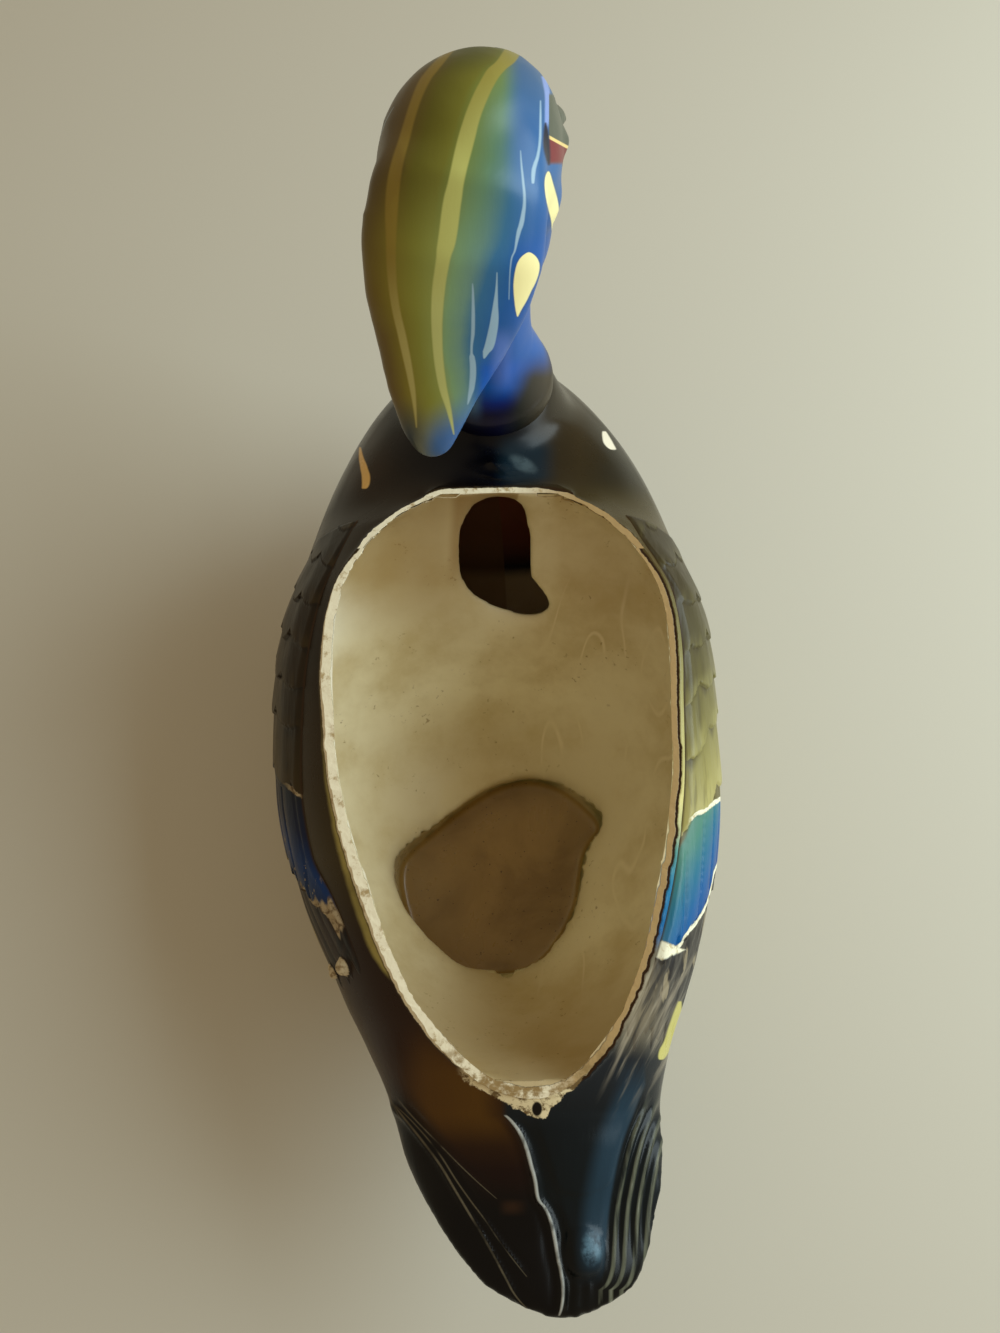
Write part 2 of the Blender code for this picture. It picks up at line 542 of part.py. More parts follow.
crest = add_object("crest", crest_body(), PART, (0.12, 0.17, 0.03))
carve(crest, skull_body("head_seat", SEAM))
carve(crest, cheek_body("cheek_seat", SEAM))
neck_seat = loft([level_ring(x, y, z, r + SEAM) for x, y, z, r in NECK_SPOTS])
carve(crest, add_object("neck_seat", neck_seat, CUTTERS))

# Bead of luting slip round the neck joint, following the flare below and the neck above
ROOT_R = [(NECK_HEIGHT + down, r) for down, back, r in ROOT]
ROOT_BACK = [(NECK_HEIGHT + down, back) for down, back, r in ROOT]
NECK_RISE = [(z, r) for x, y, z, r in NECK_SPOTS]
BEAD_BELOW, BEAD_ABOVE, BEAD_OUT = 3.2, 2.6, 1.7


def bead_point(a, t):
    """t runs from 0 to 1 up the inside, then to 2 down the outside."""
    up = t if t <= 1 else 2 - t
    z = NECK_HEIGHT - BEAD_BELOW + (BEAD_BELOW + BEAD_ABOVE) * up
    r = (curve(ROOT_R, z) if z < NECK_HEIGHT else curve(NECK_RISE, z)) + SEAM + 0.15
    r += BEAD_OUT * math.sin(math.pi * up) if t > 1 else 0.0
    lean = max(0.0, z - NECK_HEIGHT) / (0.75 * NECK_LENGTH)
    back = curve(ROOT_BACK, min(z, NECK_HEIGHT))
    return Vector((NECK_X + HEAD_SHIFT.x * lean + r * math.cos(a),
                   NECK_Y + back + HEAD_SHIFT.y * lean + r * math.sin(a), z))


BEAD_STEPS = (0, 0.28, 0.55, 0.8, 1, 1.25, 1.5, 1.75)
bm = bmesh.new()
rows = [[bm.verts.new(bead_point(2 * math.pi * i / 36, t) * MM) for t in BEAD_STEPS] for i in range(36)]
for i in range(36):
    a, b = rows[i], rows[(i + 1) % 36]
    for j in range(len(BEAD_STEPS)):
        k = (j + 1) % len(BEAD_STEPS)
        bm.faces.new((a[j], a[k], b[k], b[j]))
add_object("neck_slip_fillet", bm, PART, (0.02, 0.03, 0.12))
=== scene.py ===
# %% [markdown]
# # A hand-painted ceramic duck planter
# The real pot is slip cast: liquid clay is poured into plaster moulds, the soft castings are luted together,
# and the whole duck is painted and glazed. The measured solids come from the CAD frame. This lesson dresses
# them: each casting gets a fine skin with its modelled feathers, then its painted and glazed finish.

# %% Load the measured frame
import math

import bmesh
import bpy
import numpy as np
from mathutils import Matrix, Vector
from mathutils.bvhtree import BVHTree
from mathutils.kdtree import KDTree


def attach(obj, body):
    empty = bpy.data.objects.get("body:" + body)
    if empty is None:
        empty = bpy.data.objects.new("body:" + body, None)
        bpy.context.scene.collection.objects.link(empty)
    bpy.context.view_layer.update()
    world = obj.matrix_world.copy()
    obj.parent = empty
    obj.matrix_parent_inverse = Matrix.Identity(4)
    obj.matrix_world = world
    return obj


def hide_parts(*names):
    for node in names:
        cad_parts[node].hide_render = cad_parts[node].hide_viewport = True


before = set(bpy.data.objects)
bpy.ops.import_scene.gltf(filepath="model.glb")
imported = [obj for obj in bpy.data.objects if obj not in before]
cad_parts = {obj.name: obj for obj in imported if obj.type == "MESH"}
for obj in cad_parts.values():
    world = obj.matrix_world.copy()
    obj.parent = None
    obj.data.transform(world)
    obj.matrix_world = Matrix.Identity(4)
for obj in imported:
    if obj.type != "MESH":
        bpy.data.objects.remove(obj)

for stray in ("Cube", "Light", "Camera"):
    if stray in bpy.data.objects:
        bpy.data.objects.remove(bpy.data.objects[stray], do_unlink=True)
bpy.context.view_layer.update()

# %% [markdown]
# ## Camera
# The pot was photographed from above its tail. A photo's camera could be guessed by eye, but its place was
# solved from the outline of the rim, the well and the head, so the same numbers serve twice: for the camera,
# and for a painter's stencil that lies over the duck and says where each brush mark goes.

# %% Camera
EYE = Vector((0.0, -0.060, 0.350))
TILT = math.radians(19.3)
LENS, SENSOR = 27.08, 36.0
PHOTO_WIDE, PHOTO_TALL = 1000, 1333

bpy.ops.object.select_all(action="DESELECT")
bpy.ops.object.camera_add(location=EYE, rotation=(TILT, 0, 0))
camera = bpy.context.object
camera.name = "camera"
camera.data.lens, camera.data.sensor_width, camera.data.clip_start = LENS, SENSOR, 0.01
bpy.context.scene.camera = camera
print("camera", tuple(round(v, 3) for v in camera.location))

# %% [markdown]
# ## Floor and light
# A sheet of warm white paper under the pot and a large soft window on the duck's right are all that the
# photo shows. A studio set with rim lights would flatter the glaze, but would no longer look like it.

# %% Colour helper
def tint(red, green, blue):
    """A colour read as 0 to 255 on a screen, as the linear values that Blender's sockets take."""
    def linear(v):
        v /= 255
        return v / 12.92 if v <= 0.04045 else ((v + 0.055) / 1.055) ** 2.4
    return (linear(red), linear(green), linear(blue), 1.0)


# %% Floor, window and sky
bpy.ops.mesh.primitive_plane_add(size=4.0)
floor = bpy.context.object
floor.name = "paper_floor"
paper = bpy.data.materials.new("warm_white_paper")
paper.use_nodes = True
paper.node_tree.nodes["Principled BSDF"].inputs["Base Color"].default_value = tint(206, 202, 187)
paper.node_tree.nodes["Principled BSDF"].inputs["Roughness"].default_value = 0.85
floor.data.materials.append(paper)

WINDOW_AT = Vector((0.74, 0.14, 0.54))
bpy.ops.object.light_add(type="AREA", location=WINDOW_AT)
window = bpy.context.object
window.data.shape, window.data.size, window.data.size_y = "RECTANGLE", 0.75, 0.8
window.data.energy = 9.5
window.data.color = (0.80, 0.95, 1.0)
window.rotation_euler = (Vector((0, 0, 0.07)) - WINDOW_AT).to_track_quat("-Z", "Y").to_euler()

sky = bpy.data.worlds.new("soft_room")
sky.use_nodes = True
sky.node_tree.nodes["Background"].inputs["Color"].default_value = (1.0, 0.80, 0.54, 1)
sky.node_tree.nodes["Background"].inputs["Strength"].default_value = 0.38
bpy.context.scene.world = sky
bpy.context.scene.view_settings.view_transform = "Standard"
print("lights", window.data.energy)

# %% [markdown]
# ## Tools of the bench
# Three small helpers stand for what is done by hand again and again: pick a piece, add a modifier and apply
# it, and make a working copy of a casting. The copy's triangles are loose, so they are merged first. The next
# cell reads and writes the places of the points, keeps numbers on them, smooths them as a wet sponge does,
# selects faces, drops hidden pockets and has a smooth step for masks.

# %% Bench helpers
MM = 0.001


def pick(*pieces):
    bpy.ops.object.select_all(action="DESELECT")
    for piece in pieces:
        piece.select_set(True)
    bpy.context.view_layer.objects.active = pieces[0]


def work(piece, kind, **settings):
    """Adds one modifier and applies it."""
    pick(piece)
    step = piece.modifiers.new(kind.lower(), kind)
    for key, value in settings.items():
        setattr(step, key, value)
    bpy.ops.object.modifier_apply(modifier=step.name)


def copy_of(name, *nodes, swell=0.25):
    """Joined copy of CAD nodes, each swollen a little so that the hairline seams between them close."""
    copies = []
    for node in nodes:
        copy = bpy.data.objects.new(node + "_copy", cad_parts[node].data.copy())
        bpy.context.scene.collection.objects.link(copy)
        copy.data.materials.clear()
        pick(copy)
        bpy.ops.object.mode_set(mode="EDIT")
        bpy.ops.mesh.select_all(action="SELECT")
        bpy.ops.mesh.remove_doubles(threshold=1e-6)
        bpy.ops.object.mode_set(mode="OBJECT")
        if swell:
            work(copy, "DISPLACE", strength=swell * MM, mid_level=0.0)
        copies.append(copy)
    pick(*copies)
    bpy.ops.object.join()
    copies[0].name = name
    return copies[0]


# %% Mesh numbers, in millimetres
def places(piece):
    """Where each vertex is."""
    out = np.empty(len(piece.data.vertices) * 3)
    piece.data.vertices.foreach_get("co", out)
    return out.reshape(-1, 3) / MM


def put(piece, points):
    piece.data.vertices.foreach_set("co", (points * MM).ravel())
    piece.data.update()


def facing(piece):
    out = np.empty(len(piece.data.vertices) * 3)
    piece.data.vertex_normals.foreach_get("vector", out)
    return out.reshape(-1, 3)


def note(piece, name, values):
    """Keeps one number per vertex, for a material to read."""
    layer = piece.data.attributes.get(name) or piece.data.attributes.new(name, "FLOAT", "POINT")
    layer.data.foreach_set("value", np.asarray(values, dtype=np.float32))


def smooth(piece, times, chosen=None):
    """Draws each point towards its neighbours, as a wet sponge does, all over or only where chosen."""
    if chosen is None:
        work(piece, "SMOOTH", factor=0.5, iterations=times)
        return
    group = piece.vertex_groups.new(name="sponged")
    group.add([int(i) for i in np.nonzero(chosen)[0]], 1.0, "REPLACE")
    work(piece, "SMOOTH", factor=0.5, iterations=times, vertex_group="sponged")
    piece.vertex_groups.clear()


def select_faces(piece, wanted):
    """Selects the faces for which wanted(middle of the face, upward part of its normal) is true."""
    co = places(piece)
    for face in piece.data.polygons:
        face.select = bool(wanted(co[list(face.vertices)].mean(axis=0), face.normal.z))


def biggest_shell(piece):
    """Keeps the largest connected surface: a remeshed pocket inside the clay is never seen."""
    bm = bmesh.new()
    bm.from_mesh(piece.data)
    bm.verts.ensure_lookup_table()
    seen, shells = set(), []
    for start in bm.verts:
        if start.index in seen:
            continue
        shell, stack = [], [start]
        seen.add(start.index)
        while stack:
            v = stack.pop()
            shell.append(v)
            for edge in v.link_edges:
                other = edge.other_vert(v)
                if other.index not in seen:
                    seen.add(other.index)
                    stack.append(other)
        shells.append(shell)
    shells.sort(key=len)
    for shell in shells[:-1]:
        bmesh.ops.delete(bm, geom=shell, context="VERTS")
    bm.to_mesh(piece.data)
    bm.free()


def ramp_up(values, low, high):
    """Smooth step from 0 at low to 1 at high; high may be the smaller."""
    t = np.clip((values - low) / (high - low), 0, 1)
    return t * t * (3 - 2 * t)


# %% [markdown]
# ## The stencil
# Each brush mark was read off the photo as a place across and down the picture. A painter would pounce such
# marks through a pricked stencil. Here every vertex keeps the two numbers at which one fixed point above the
# tail sees it. They are stored in the mesh, so the paint stays on the clay however the pot is turned.

# %% Stencil
FOCAL = LENS / SENSOR * PHOTO_TALL


def stencil(points):
    """Where the fixed point above the tail sees these points: across and down, in photo pixels."""
    d = points - np.array(EYE) / MM
    up = d[:, 1] * math.cos(TILT) + d[:, 2] * math.sin(TILT)
    away = d[:, 1] * math.sin(TILT) - d[:, 2] * math.cos(TILT)
    return PHOTO_WIDE / 2 + FOCAL * d[:, 0] / away, PHOTO_TALL / 2 - FOCAL * up / away


RAY_START = 0.6 * MM


def seen_from_above(piece):
    """1 where the stencil's point sees the surface, 0 where it faces away or the piece hides it."""
    tree = BVHTree.FromPolygons([v.co[:] for v in piece.data.vertices],
                                [p.vertices[:] for p in piece.data.polygons])
    co, normal = places(piece) * MM, facing(piece)
    out = np.zeros(len(co))
    for i, (p, n) in enumerate(zip(co, normal)):
        ray = EYE - Vector(p)
        if ray.dot(Vector(n)) <= 0:
            continue
        if not tree.ray_cast(Vector(p) + Vector(n) * RAY_START, ray.normalized(), ray.length)[0]:
            out[i] = 1.0
    return out


def eased(piece, values, rounds):
    """Values averaged with those of the neighbouring points, so that a mask ends softly."""
    ends = np.empty(2 * len(piece.data.edges), int)
    piece.data.edges.foreach_get("vertices", ends)
    one, other, count = ends[::2], ends[1::2], len(values)
    around = 1 + np.bincount(one, minlength=count) + np.bincount(other, minlength=count)
    for _ in range(rounds):
        beside = np.bincount(one, values[other], count) + np.bincount(other, values[one], count)
        values = (values + beside) / around
    return values


def keep_stencil(piece):
    across, down = stencil(places(piece))
    note(piece, "across", across)
    note(piece, "down", down)


# %% [markdown]
# ## Lines of the hull
# The hull's outline is a handful of shares along its length, as a boat builder's table of offsets is. The
# same table draws the smooth skin here and places the wings on it, so the two can't drift apart.

# %% Table of offsets
HALF_WIDTH, BELLY, BACK, WIDEST_Z = 62.0, 53.0, 53.7, 66.0
MID_Y, FRONT, REAR, TAIL = 25.0, 124.0, 107.0, 43.0
TAIL_SWING, TAIL_LIFT, SWAY = 9.0, 12.0, 2.5
RIM_Z, RIM_SLOPE = 100.0, 0.063
WIDTH = [(-1.97, 0.09), (-1.93, 0.17), (-1.84, 0.285), (-1.55, 0.42), (-1.25, 0.508), (-1, 0.545),
         (-0.86, 0.635), (-0.757, 0.717), (-0.514, 0.87), (-0.234, 0.975), (0.03, 1.0), (0.29, 1.015), (1, 1.035)]
RISE = [(-2, 0.03), (-1.84, 0.07), (-1.55, 0.125), (-1.3, 0.22), (-1, 0.361), (-0.963, 0.41), (-0.86, 0.553),
        (-0.757, 0.68), (-0.542, 0.838), (-0.308, 0.927), (-0.065, 1.0), (0.174, 1.061), (0.29, 0.987),
        (0.369, 0.922), (0.444, 0.84), (0.605, 0.875), (0.766, 0.875), (1, 0.82)]
DEPTH = [(-2, 0.04), (-1.84, 0.09), (-1.55, 0.18), (-1.3, 0.32), (-1, 0.49), (-0.757, 0.717), (-0.514, 0.906),
         (-0.234, 1.0), (0.03, 1.02), (0.29, 1.038), (0.573, 1.056), (0.782, 0.98), (1, 0.87)]
LIFT = [(-2, 1.62), (-1.55, 1.17), (-1, 0.667), (-0.86, 0.33), (-0.757, 0.167), (-0.514, 0.0), (1, 0.0)]
SWING = [(-2, 1.5), (-1.84, 1.38), (-1.55, 1.08), (-1.28, 0.86), (-1, 0.64), (-0.757, 0.33), (-0.514, 0.11),
         (-0.234, -0.13), (0.03, -0.26), (0.29, -0.28), (0.605, -0.39), (0.782, -0.55), (1, -0.75)]


def curve(table, t):
    """Smooth line through a table that never overshoots it."""
    x, y = np.array(table).T
    step = np.diff(y) / np.diff(x)
    slope = np.empty(len(x))
    slope[0], slope[-1] = step[0], step[-1]
    a, b = step[:-1], step[1:]
    with np.errstate(divide="ignore", invalid="ignore"):
        slope[1:-1] = np.where(a * b <= 0, 0.0, 2 * a * b / (a + b))
    t = np.clip(t, x[0], x[-1])
    i = np.clip(np.searchsorted(x, t) - 1, 0, len(x) - 2)
    h = x[i + 1] - x[i]
    s = (t - x[i]) / h
    return ((2 * s ** 3 - 3 * s ** 2 + 1) * y[i] + (s ** 3 - 2 * s ** 2 + s) * h * slope[i]
            + (-2 * s ** 3 + 3 * s ** 2) * y[i + 1] + (s ** 3 - s ** 2) * h * slope[i + 1])


def station(y):
    y = np.asarray(y, dtype=float)
    return np.where(y >= MID_Y, (y - MID_Y) / FRONT,
                    np.where(y >= MID_Y - REAR, (y - MID_Y) / REAR, -1 + (y - MID_Y + REAR) / TAIL))


def taper(y):
    return (1 - np.clip(station(y), 0, 1) ** 1.8) ** (1 / 1.8)


def hull_middle(y, z):
    return TAIL_SWING * curve(SWING, station(y)) + SWAY * np.maximum(0, z - WIDEST_Z) / (RIM_Z - WIDEST_Z)


def hull_sizes(y, up):
    """Half-width, height of the widest level, and reach above or below it."""
    wide = HALF_WIDTH * curve(WIDTH, station(y)) * taper(y)
    level = WIDEST_Z + TAIL_LIFT * curve(LIFT, station(y))
    tall = np.where(up, BACK * curve(RISE, station(y)), BELLY * curve(DEPTH, station(y))) * taper(y)
    return wide, level, tall


def hull_skin(y, angle, out=0.0):
    """Points of the hull at a place along it and an angle up from the duck's right side."""
    wide, level, tall = hull_sizes(y, np.sin(angle) > 0)
    z = level + (tall + out) * np.sin(angle)
    return np.stack([hull_middle(y, z) + (wide + out) * np.cos(angle), y + 0 * z, z], axis=-1)


def section_at(points):
    """The hull beside each point: half-width, widest level, reach, and the point's place across and above."""
    y, z = points[:, 1], points[:, 2]
    wide, level, tall = hull_sizes(y, z > WIDEST_Z + TAIL_LIFT * curve(LIFT, station(y)))
    return wide, level, tall, points[:, 0] - hull_middle(y, z), z - level


def rim_z(y):
    return RIM_Z + RIM_SLOPE * y


print("hull is", round(float(hull_sizes(25.0, True)[0] * 2), 1), "mm wide")

# %% [markdown]
# ## The hull and tail as one casting
# On the real duck the joint between hull and tail was sponged away, so copies of both are fused. A boolean
# union would keep their facets. A voxel remesh is like slip taking the skin of a mould: one even skin over
# everything, which is then drawn onto the table of offsets. The rim is raised first and cut off afterwards,
# because a remesh rounds every edge and the broken rim has to stay sharp.

# %% Fuse hull and tail
SHELL_VOXEL, RIM_RAISED = 1.48, 6.0

shell = copy_of("painted_shell", "body_bowl", "tail_fan")
pick(shell)
bpy.ops.object.mode_set(mode="EDIT")
bpy.ops.mesh.select_all(action="DESELECT")
bpy.ops.object.mode_set(mode="OBJECT")
select_faces(shell, lambda at, up: up > 0.95 and at[1] < 85 and abs(at[2] - rim_z(at[1])) < 0.6)
print("rim faces raised", sum(f.select for f in shell.data.polygons))
bpy.ops.object.mode_set(mode="EDIT")
bpy.ops.mesh.select_mode(type="FACE")
bpy.ops.mesh.extrude_region_move(TRANSFORM_OT_translate={"value": (0, 0, RIM_RAISED * MM)})
bpy.ops.object.mode_set(mode="OBJECT")
work(shell, "REMESH", mode="VOXEL", voxel_size=SHELL_VOXEL * MM, use_smooth_shade=True)
biggest_shell(shell)
smooth(shell, 5)
print("shell", len(shell.data.polygons), "faces")


# %% Draw the skin onto the table of offsets
HULL_END, TIP_END = MID_Y - REAR, -122.0
SKIN_REACH, TAIL_REACH = 0.9, 2.2


def onto_hull(points):
    """The same points on the drawn hull, across its own cross-sections."""
    wide, level, tall, across, above = section_at(points)
    share = np.maximum(np.hypot(across / np.maximum(wide, 0.1), above / np.maximum(tall, 0.1)), 0.05)
    new_z = level + above / share
    return np.stack([hull_middle(points[:, 1], new_z) + across / share, points[:, 1], new_z], axis=-1)


def depth_in(points):
    """How many millimetres under the drawn hull each point lies; on its skin this is 0."""
    wide, level, tall, across, above = section_at(points)
    share = np.hypot(across / np.maximum(wide, 0.1), above / np.maximum(tall, 0.1))
    return np.hypot(across, above) * (1 / np.maximum(share, 0.02) - 1)


def draw_onto_hull(piece):
    """Moves the points that are within reach of the drawn hull onto it, and says which ones moved."""
    co, normal = places(piece), facing(piece)
    target = onto_hull(co)
    step = np.linalg.norm(target - co, axis=1) * np.hypot(normal[:, 0], normal[:, 2])
    limit = np.where((co[:, 1] < HULL_END) & (normal[:, 2] > 0.1), TAIL_REACH, SKIN_REACH)
    move = (step < limit) & (co[:, 1] > TIP_END)
    co[move] = target[move]
    put(piece, co)
    return move


drawn = draw_onto_hull(shell)
smooth(shell, 2)
print("drawn onto the hull", int(drawn.sum()), "of", len(drawn))

# %% Smooth the wall of the bowl, which a sponge went round
co = places(shell)
inner = (depth_in(co) > 1.8) & (co[:, 2] > 18) & (co[:, 1] < 92) & (co[:, 1] > -85)
smooth(shell, 70, inner)
print("sponged", int(inner.sum()))

# %% [markdown]
# ## The bare rim
# The edge of the opening is a cross-section of the cast wall, cut while the clay was soft. The raised wall
# is sliced off along the rim's plane and the gap between the two cut edges is filled, which gives one clean
# strip with sharp sides. A bevelled rim would be easier, and would look glazed.

# %% Slice the raised wall
RIM_LIFT = 0.4

pick(shell)
select_faces(shell, lambda at, up: -95 < at[1] < 88 and at[2] > rim_z(at[1]) - 4)
bpy.ops.object.mode_set(mode="EDIT")
bpy.ops.mesh.select_mode(type="FACE")
bpy.ops.mesh.bisect(plane_co=(0, 0, (RIM_Z + RIM_LIFT) * MM),
                    plane_no=Vector((0, -RIM_SLOPE, 1)).normalized(), clear_outer=True)
bpy.ops.mesh.select_mode(type="EDGE")
bpy.ops.mesh.select_all(action="DESELECT")
bpy.ops.mesh.select_non_manifold()
bpy.ops.object.mode_set(mode="OBJECT")
print("cut edges", sum(edge.select for edge in shell.data.edges))


# %% Keep the two cut edges as lists of points
def open_loops(piece):
    """Points along each chain of selected edges, four to an edge, the widest chain first."""
    beside, co = {}, places(piece)
    for edge in piece.data.edges:
        if edge.select:
            one, other = edge.vertices
            beside.setdefault(one, []).append(other)
            beside.setdefault(other, []).append(one)
    loops = []
    while beside:
        stack, loop = [next(iter(beside))], []
        while stack:
            at = stack.pop()
            for other in beside.pop(at, ()):
                loop += [co[at] + (co[other] - co[at]) * k / 4 for k in range(4)]
                stack.append(other)
        loops.append(np.array(loop))
    return sorted(loops, key=lambda loop: -np.ptp(loop[:, 0]))


def near_to(points):
    """A tree that finds the nearest of these points."""
    tree = KDTree(len(points))
    for i, p in enumerate(points):
        tree.insert(p, i)
    tree.balance()
    return tree


loops = open_loops(shell)
print("cut edges of", [len(loop) for loop in loops], "points")
rim_out, rim_in = near_to(loops[0]), near_to(loops[1])

# %% Fill the gap between them, which gives the bare rim
bpy.ops.object.mode_set(mode="EDIT")
bpy.ops.mesh.fill(use_beauty=False)
bpy.ops.object.mode_set(mode="OBJECT")
strip = [f.index for f in shell.data.polygons if f.select]
uses = {}
for i in strip:
    for key in shell.data.polygons[i].edge_keys:
        uses[key] = uses.get(key, 0) + 1
for edge in shell.data.edges:
    edge.select = uses.get(edge.key, 0) == 2
bpy.ops.object.mode_set(mode="EDIT")
bpy.ops.mesh.select_mode(type="EDGE")
bpy.ops.mesh.subdivide(number_cuts=3)
bpy.ops.mesh.select_all(action="DESELECT")
bpy.ops.mesh.select_non_manifold()
bpy.ops.object.mode_set(mode="OBJECT")
print("open edges after filling", sum(e.select for e in shell.data.edges), "faces", len(shell.data.polygons))


# %% Ease the shoulders into the root of the neck, but not the rim
RIM_KEPT = 2.6

co = places(shell)
easing = (co[:, 1] > 70) & (co[:, 1] < 128) & (co[:, 2] > 84) & (co[:, 2] < 114) & (depth_in(co) < 1.2)
for i in np.nonzero(easing)[0]:
    easing[i] = rim_in.find(co[i])[2] > RIM_KEPT
smooth(shell, 60, easing)
print("eased", int(easing.sum()), "points")

# %% A finer mesh where the tail feathers are modelled
pick(shell)
select_faces(shell, lambda at, up: at[1] < -78 and at[2] > 70 and up > 0.1)
bpy.ops.object.mode_set(mode="EDIT")
bpy.ops.mesh.select_mode(type="FACE")
bpy.ops.mesh.subdivide(number_cuts=1, smoothness=0.6)
bpy.ops.object.mode_set(mode="OBJECT")
print("triangles", sum(len(f.vertices) - 2 for f in shell.data.polygons))

# %% Lines of the tail, in stencil numbers
CENTRE_QUILL = [(505, 1115, 1.2), (513, 1123, 1.8), (521, 1135, 1.9), (527, 1150, 1.9), (531, 1165, 1.8),
                (535, 1180, 1.7), (538, 1198, 1.6), (545, 1208, 1.6), (551, 1222, 1.6), (555, 1240, 1.7),
                (558, 1258, 1.7), (561, 1272, 1.6), (563, 1290, 1.4), (562, 1305, 1.2), (559, 1316, 0.8)]
LEFT_QUILLS = [[(383, 1090, 0.6), (400, 1113, 1.1), (420, 1138, 1.3), (440, 1165, 1.3), (455, 1190, 1.2),
                (470, 1215, 1.2), (482, 1235, 1.2), (495, 1258, 1.1), (505, 1277, 1), (515, 1295, 0.9),
                (531, 1312, 0.4)],
               [(395, 1105, 0.5), (420, 1130, 0.8), (440, 1155, 0.9), (456, 1180, 0.8), (470, 1200, 0.8),
                (485, 1220, 0.7), (500, 1242, 0.6), (527, 1277, 0.3)],
               [(388, 1085, 0.5), (405, 1108, 0.8), (440, 1145, 0.8), (470, 1175, 0.7), (497, 1199, 0.3)],
               [(352, 1030, 0.6), (366, 1056, 0.8), (378, 1078, 0.8), (388, 1096, 0.6), (402, 1122, 0.4)]]
TONGUE_LEFT = [(1100, 524), (1112, 530), (1160, 545), (1200, 556), (1235, 563), (1262, 563), (1290, 575)]
TONGUE_RIGHT = [(1085, 645), (1110, 635), (1145, 622), (1180, 614), (1210, 609), (1245, 606), (1270, 604),
                (1290, 592)]
print("quills on the left of the tail", len(LEFT_QUILLS))


# %% Model the tail
FLUTE_WIDTH = 10.5
KNOB_AT, KNOB_SIZE = (583, 1252), (22, 27)


def ridge(across, down, points, wide):
    """Height 0 to 1 of a rounded ridge along a stroke, which ends softly."""
    line = curve([(v, u) for u, v, w in points], down)
    ends = ramp_up(down, points[0][1], points[0][1] + 12) * ramp_up(down, points[-1][1], points[-1][1] - 12)
    return np.exp(-((across - line) / wide) ** 2) * ends


def tail_relief(across, down):
    """Height of the modelled feathers over the plain tail, in millimetres."""
    lift = 1.0 * ridge(across, down, CENTRE_QUILL, 3.6)
    lift -= 0.5 * ridge(across - 8, down, CENTRE_QUILL, 5) + 0.45 * ridge(across + 9, down, CENTRE_QUILL, 6)
    for line in LEFT_QUILLS:
        lift += 0.5 * ridge(across, down, line, 3.0) - 0.3 * ridge(across - 6, down, line, 4.0)
    left, right = curve(TONGUE_LEFT, down), curve(TONGUE_RIGHT, down)
    in_from = np.minimum(across - left, right - across)
    tongue = ramp_up(in_from, -1, 7) * ramp_up(down, 1104, 1150) * ramp_up(down, 1280, 1268)
    lift += 1.1 * tongue * (0.7 + 0.3 * ramp_up(in_from, 0, 24))
    knob = 1 - np.hypot((across - KNOB_AT[0]) / KNOB_SIZE[0], (down - KNOB_AT[1]) / KNOB_SIZE[1]) ** 2
    lift += 1.5 * np.sqrt(np.clip(knob, 0, 1))
    arc = down - (1192 - 0.012 * (across - 578) ** 2)
    lift -= 0.35 * tongue * ramp_up(arc, -1, 3) * ramp_up(arc, 40, 6)
    beside = across - right
    wavering = beside * (1 + 0.0018 * (1200 - down)) + 2 + 2.2 * np.sin(down / 31)
    flutes = 0.5 * np.cos(2 * np.pi * wavering / FLUTE_WIDTH)
    fading = 1 - 0.9 * ramp_up(down, 1225, 1268) * ramp_up(across, 588, 602)
    lift += flutes * ramp_up(beside, 2, 6) * ramp_up(down, 1080, 1130) * fading
    lift *= 1 - 0.7 * ramp_up(down, 1285, 1312) * ramp_up(across, 566, 575)
    end = 0.15 * np.cos(2 * np.pi * (across - 563) / 13) * ramp_up(down, 1276, 1284) * ramp_up(across, 562, 570)
    return lift + end * ramp_up(across, 604, 592)


co, normal = places(shell), facing(shell)
across, down = stencil(co)
top = ramp_up(normal[:, 2], 0.12, 0.35) * ramp_up(co[:, 1], -79, -82)
put(shell, co + normal * (tail_relief(across, down) * top)[:, None])
print("tail relief over", int((top > 0).sum()), "points")

# %% Where each point lies across the rim: 0 at its outer edge, then down to minus the wall
WALL, FAR_OFF = 3.4, 40.0

co = places(shell)
inside = (depth_in(co) > 1.6) & (co[:, 1] > -84)
strip = (np.abs(co[:, 2] - rim_z(co[:, 1]) - RIM_LIFT) < 0.12) & (co[:, 1] < 84) & (co[:, 1] > -82)
across_rim = np.where(inside, -FAR_OFF, FAR_OFF)
for i in np.nonzero(np.abs(co[:, 2] - rim_z(co[:, 1])) < 14)[0]:
    if not -95 < co[i, 1] < 96:
        continue
    gap_out, gap_in = rim_out.find(co[i])[2], rim_in.find(co[i])[2]
    if strip[i]:
        across_rim[i] = gap_in - WALL if co[i, 1] > 60 else max(-gap_out, -WALL)
    else:
        across_rim[i] = -WALL - gap_in if inside[i] and gap_in < gap_out + 2 else gap_out
note(shell, "across_rim", across_rim)
note(shell, "inside", inside & ~strip)
print("rim strip", int(strip.sum()), "inside", int(inside.sum()), "of", len(co))


# %% [markdown]
# ## The wings
# Each wing is a raised pad of feathers: seven rows of scalloped coverts, then a patch of broad secondaries
# (the speculum), then long primaries. Single feathers could be modelled and scattered, but the mould has
# one continuous relief, so one dense sheet is laid on the hull and its height is worked out feather by
# feather. The front row lies over the next, as on a bird.

# %% Heights of the feathers
ROW_EDGES = [-6.0, 8.0, 22.0, 35.5, 48.0, 61.0, 79.0]
FEATHER_WIDTH = [9.0, 9.5, 10.0, 11.0, 12.0, 13.0, 14.0]
LAST_ROW = ROW_EDGES[-1]
SLANT = 0.7
SPECULUM_END = 108.0
SECONDARY_WIDTH, PRIMARY_WIDTH = 8.2, 6.4


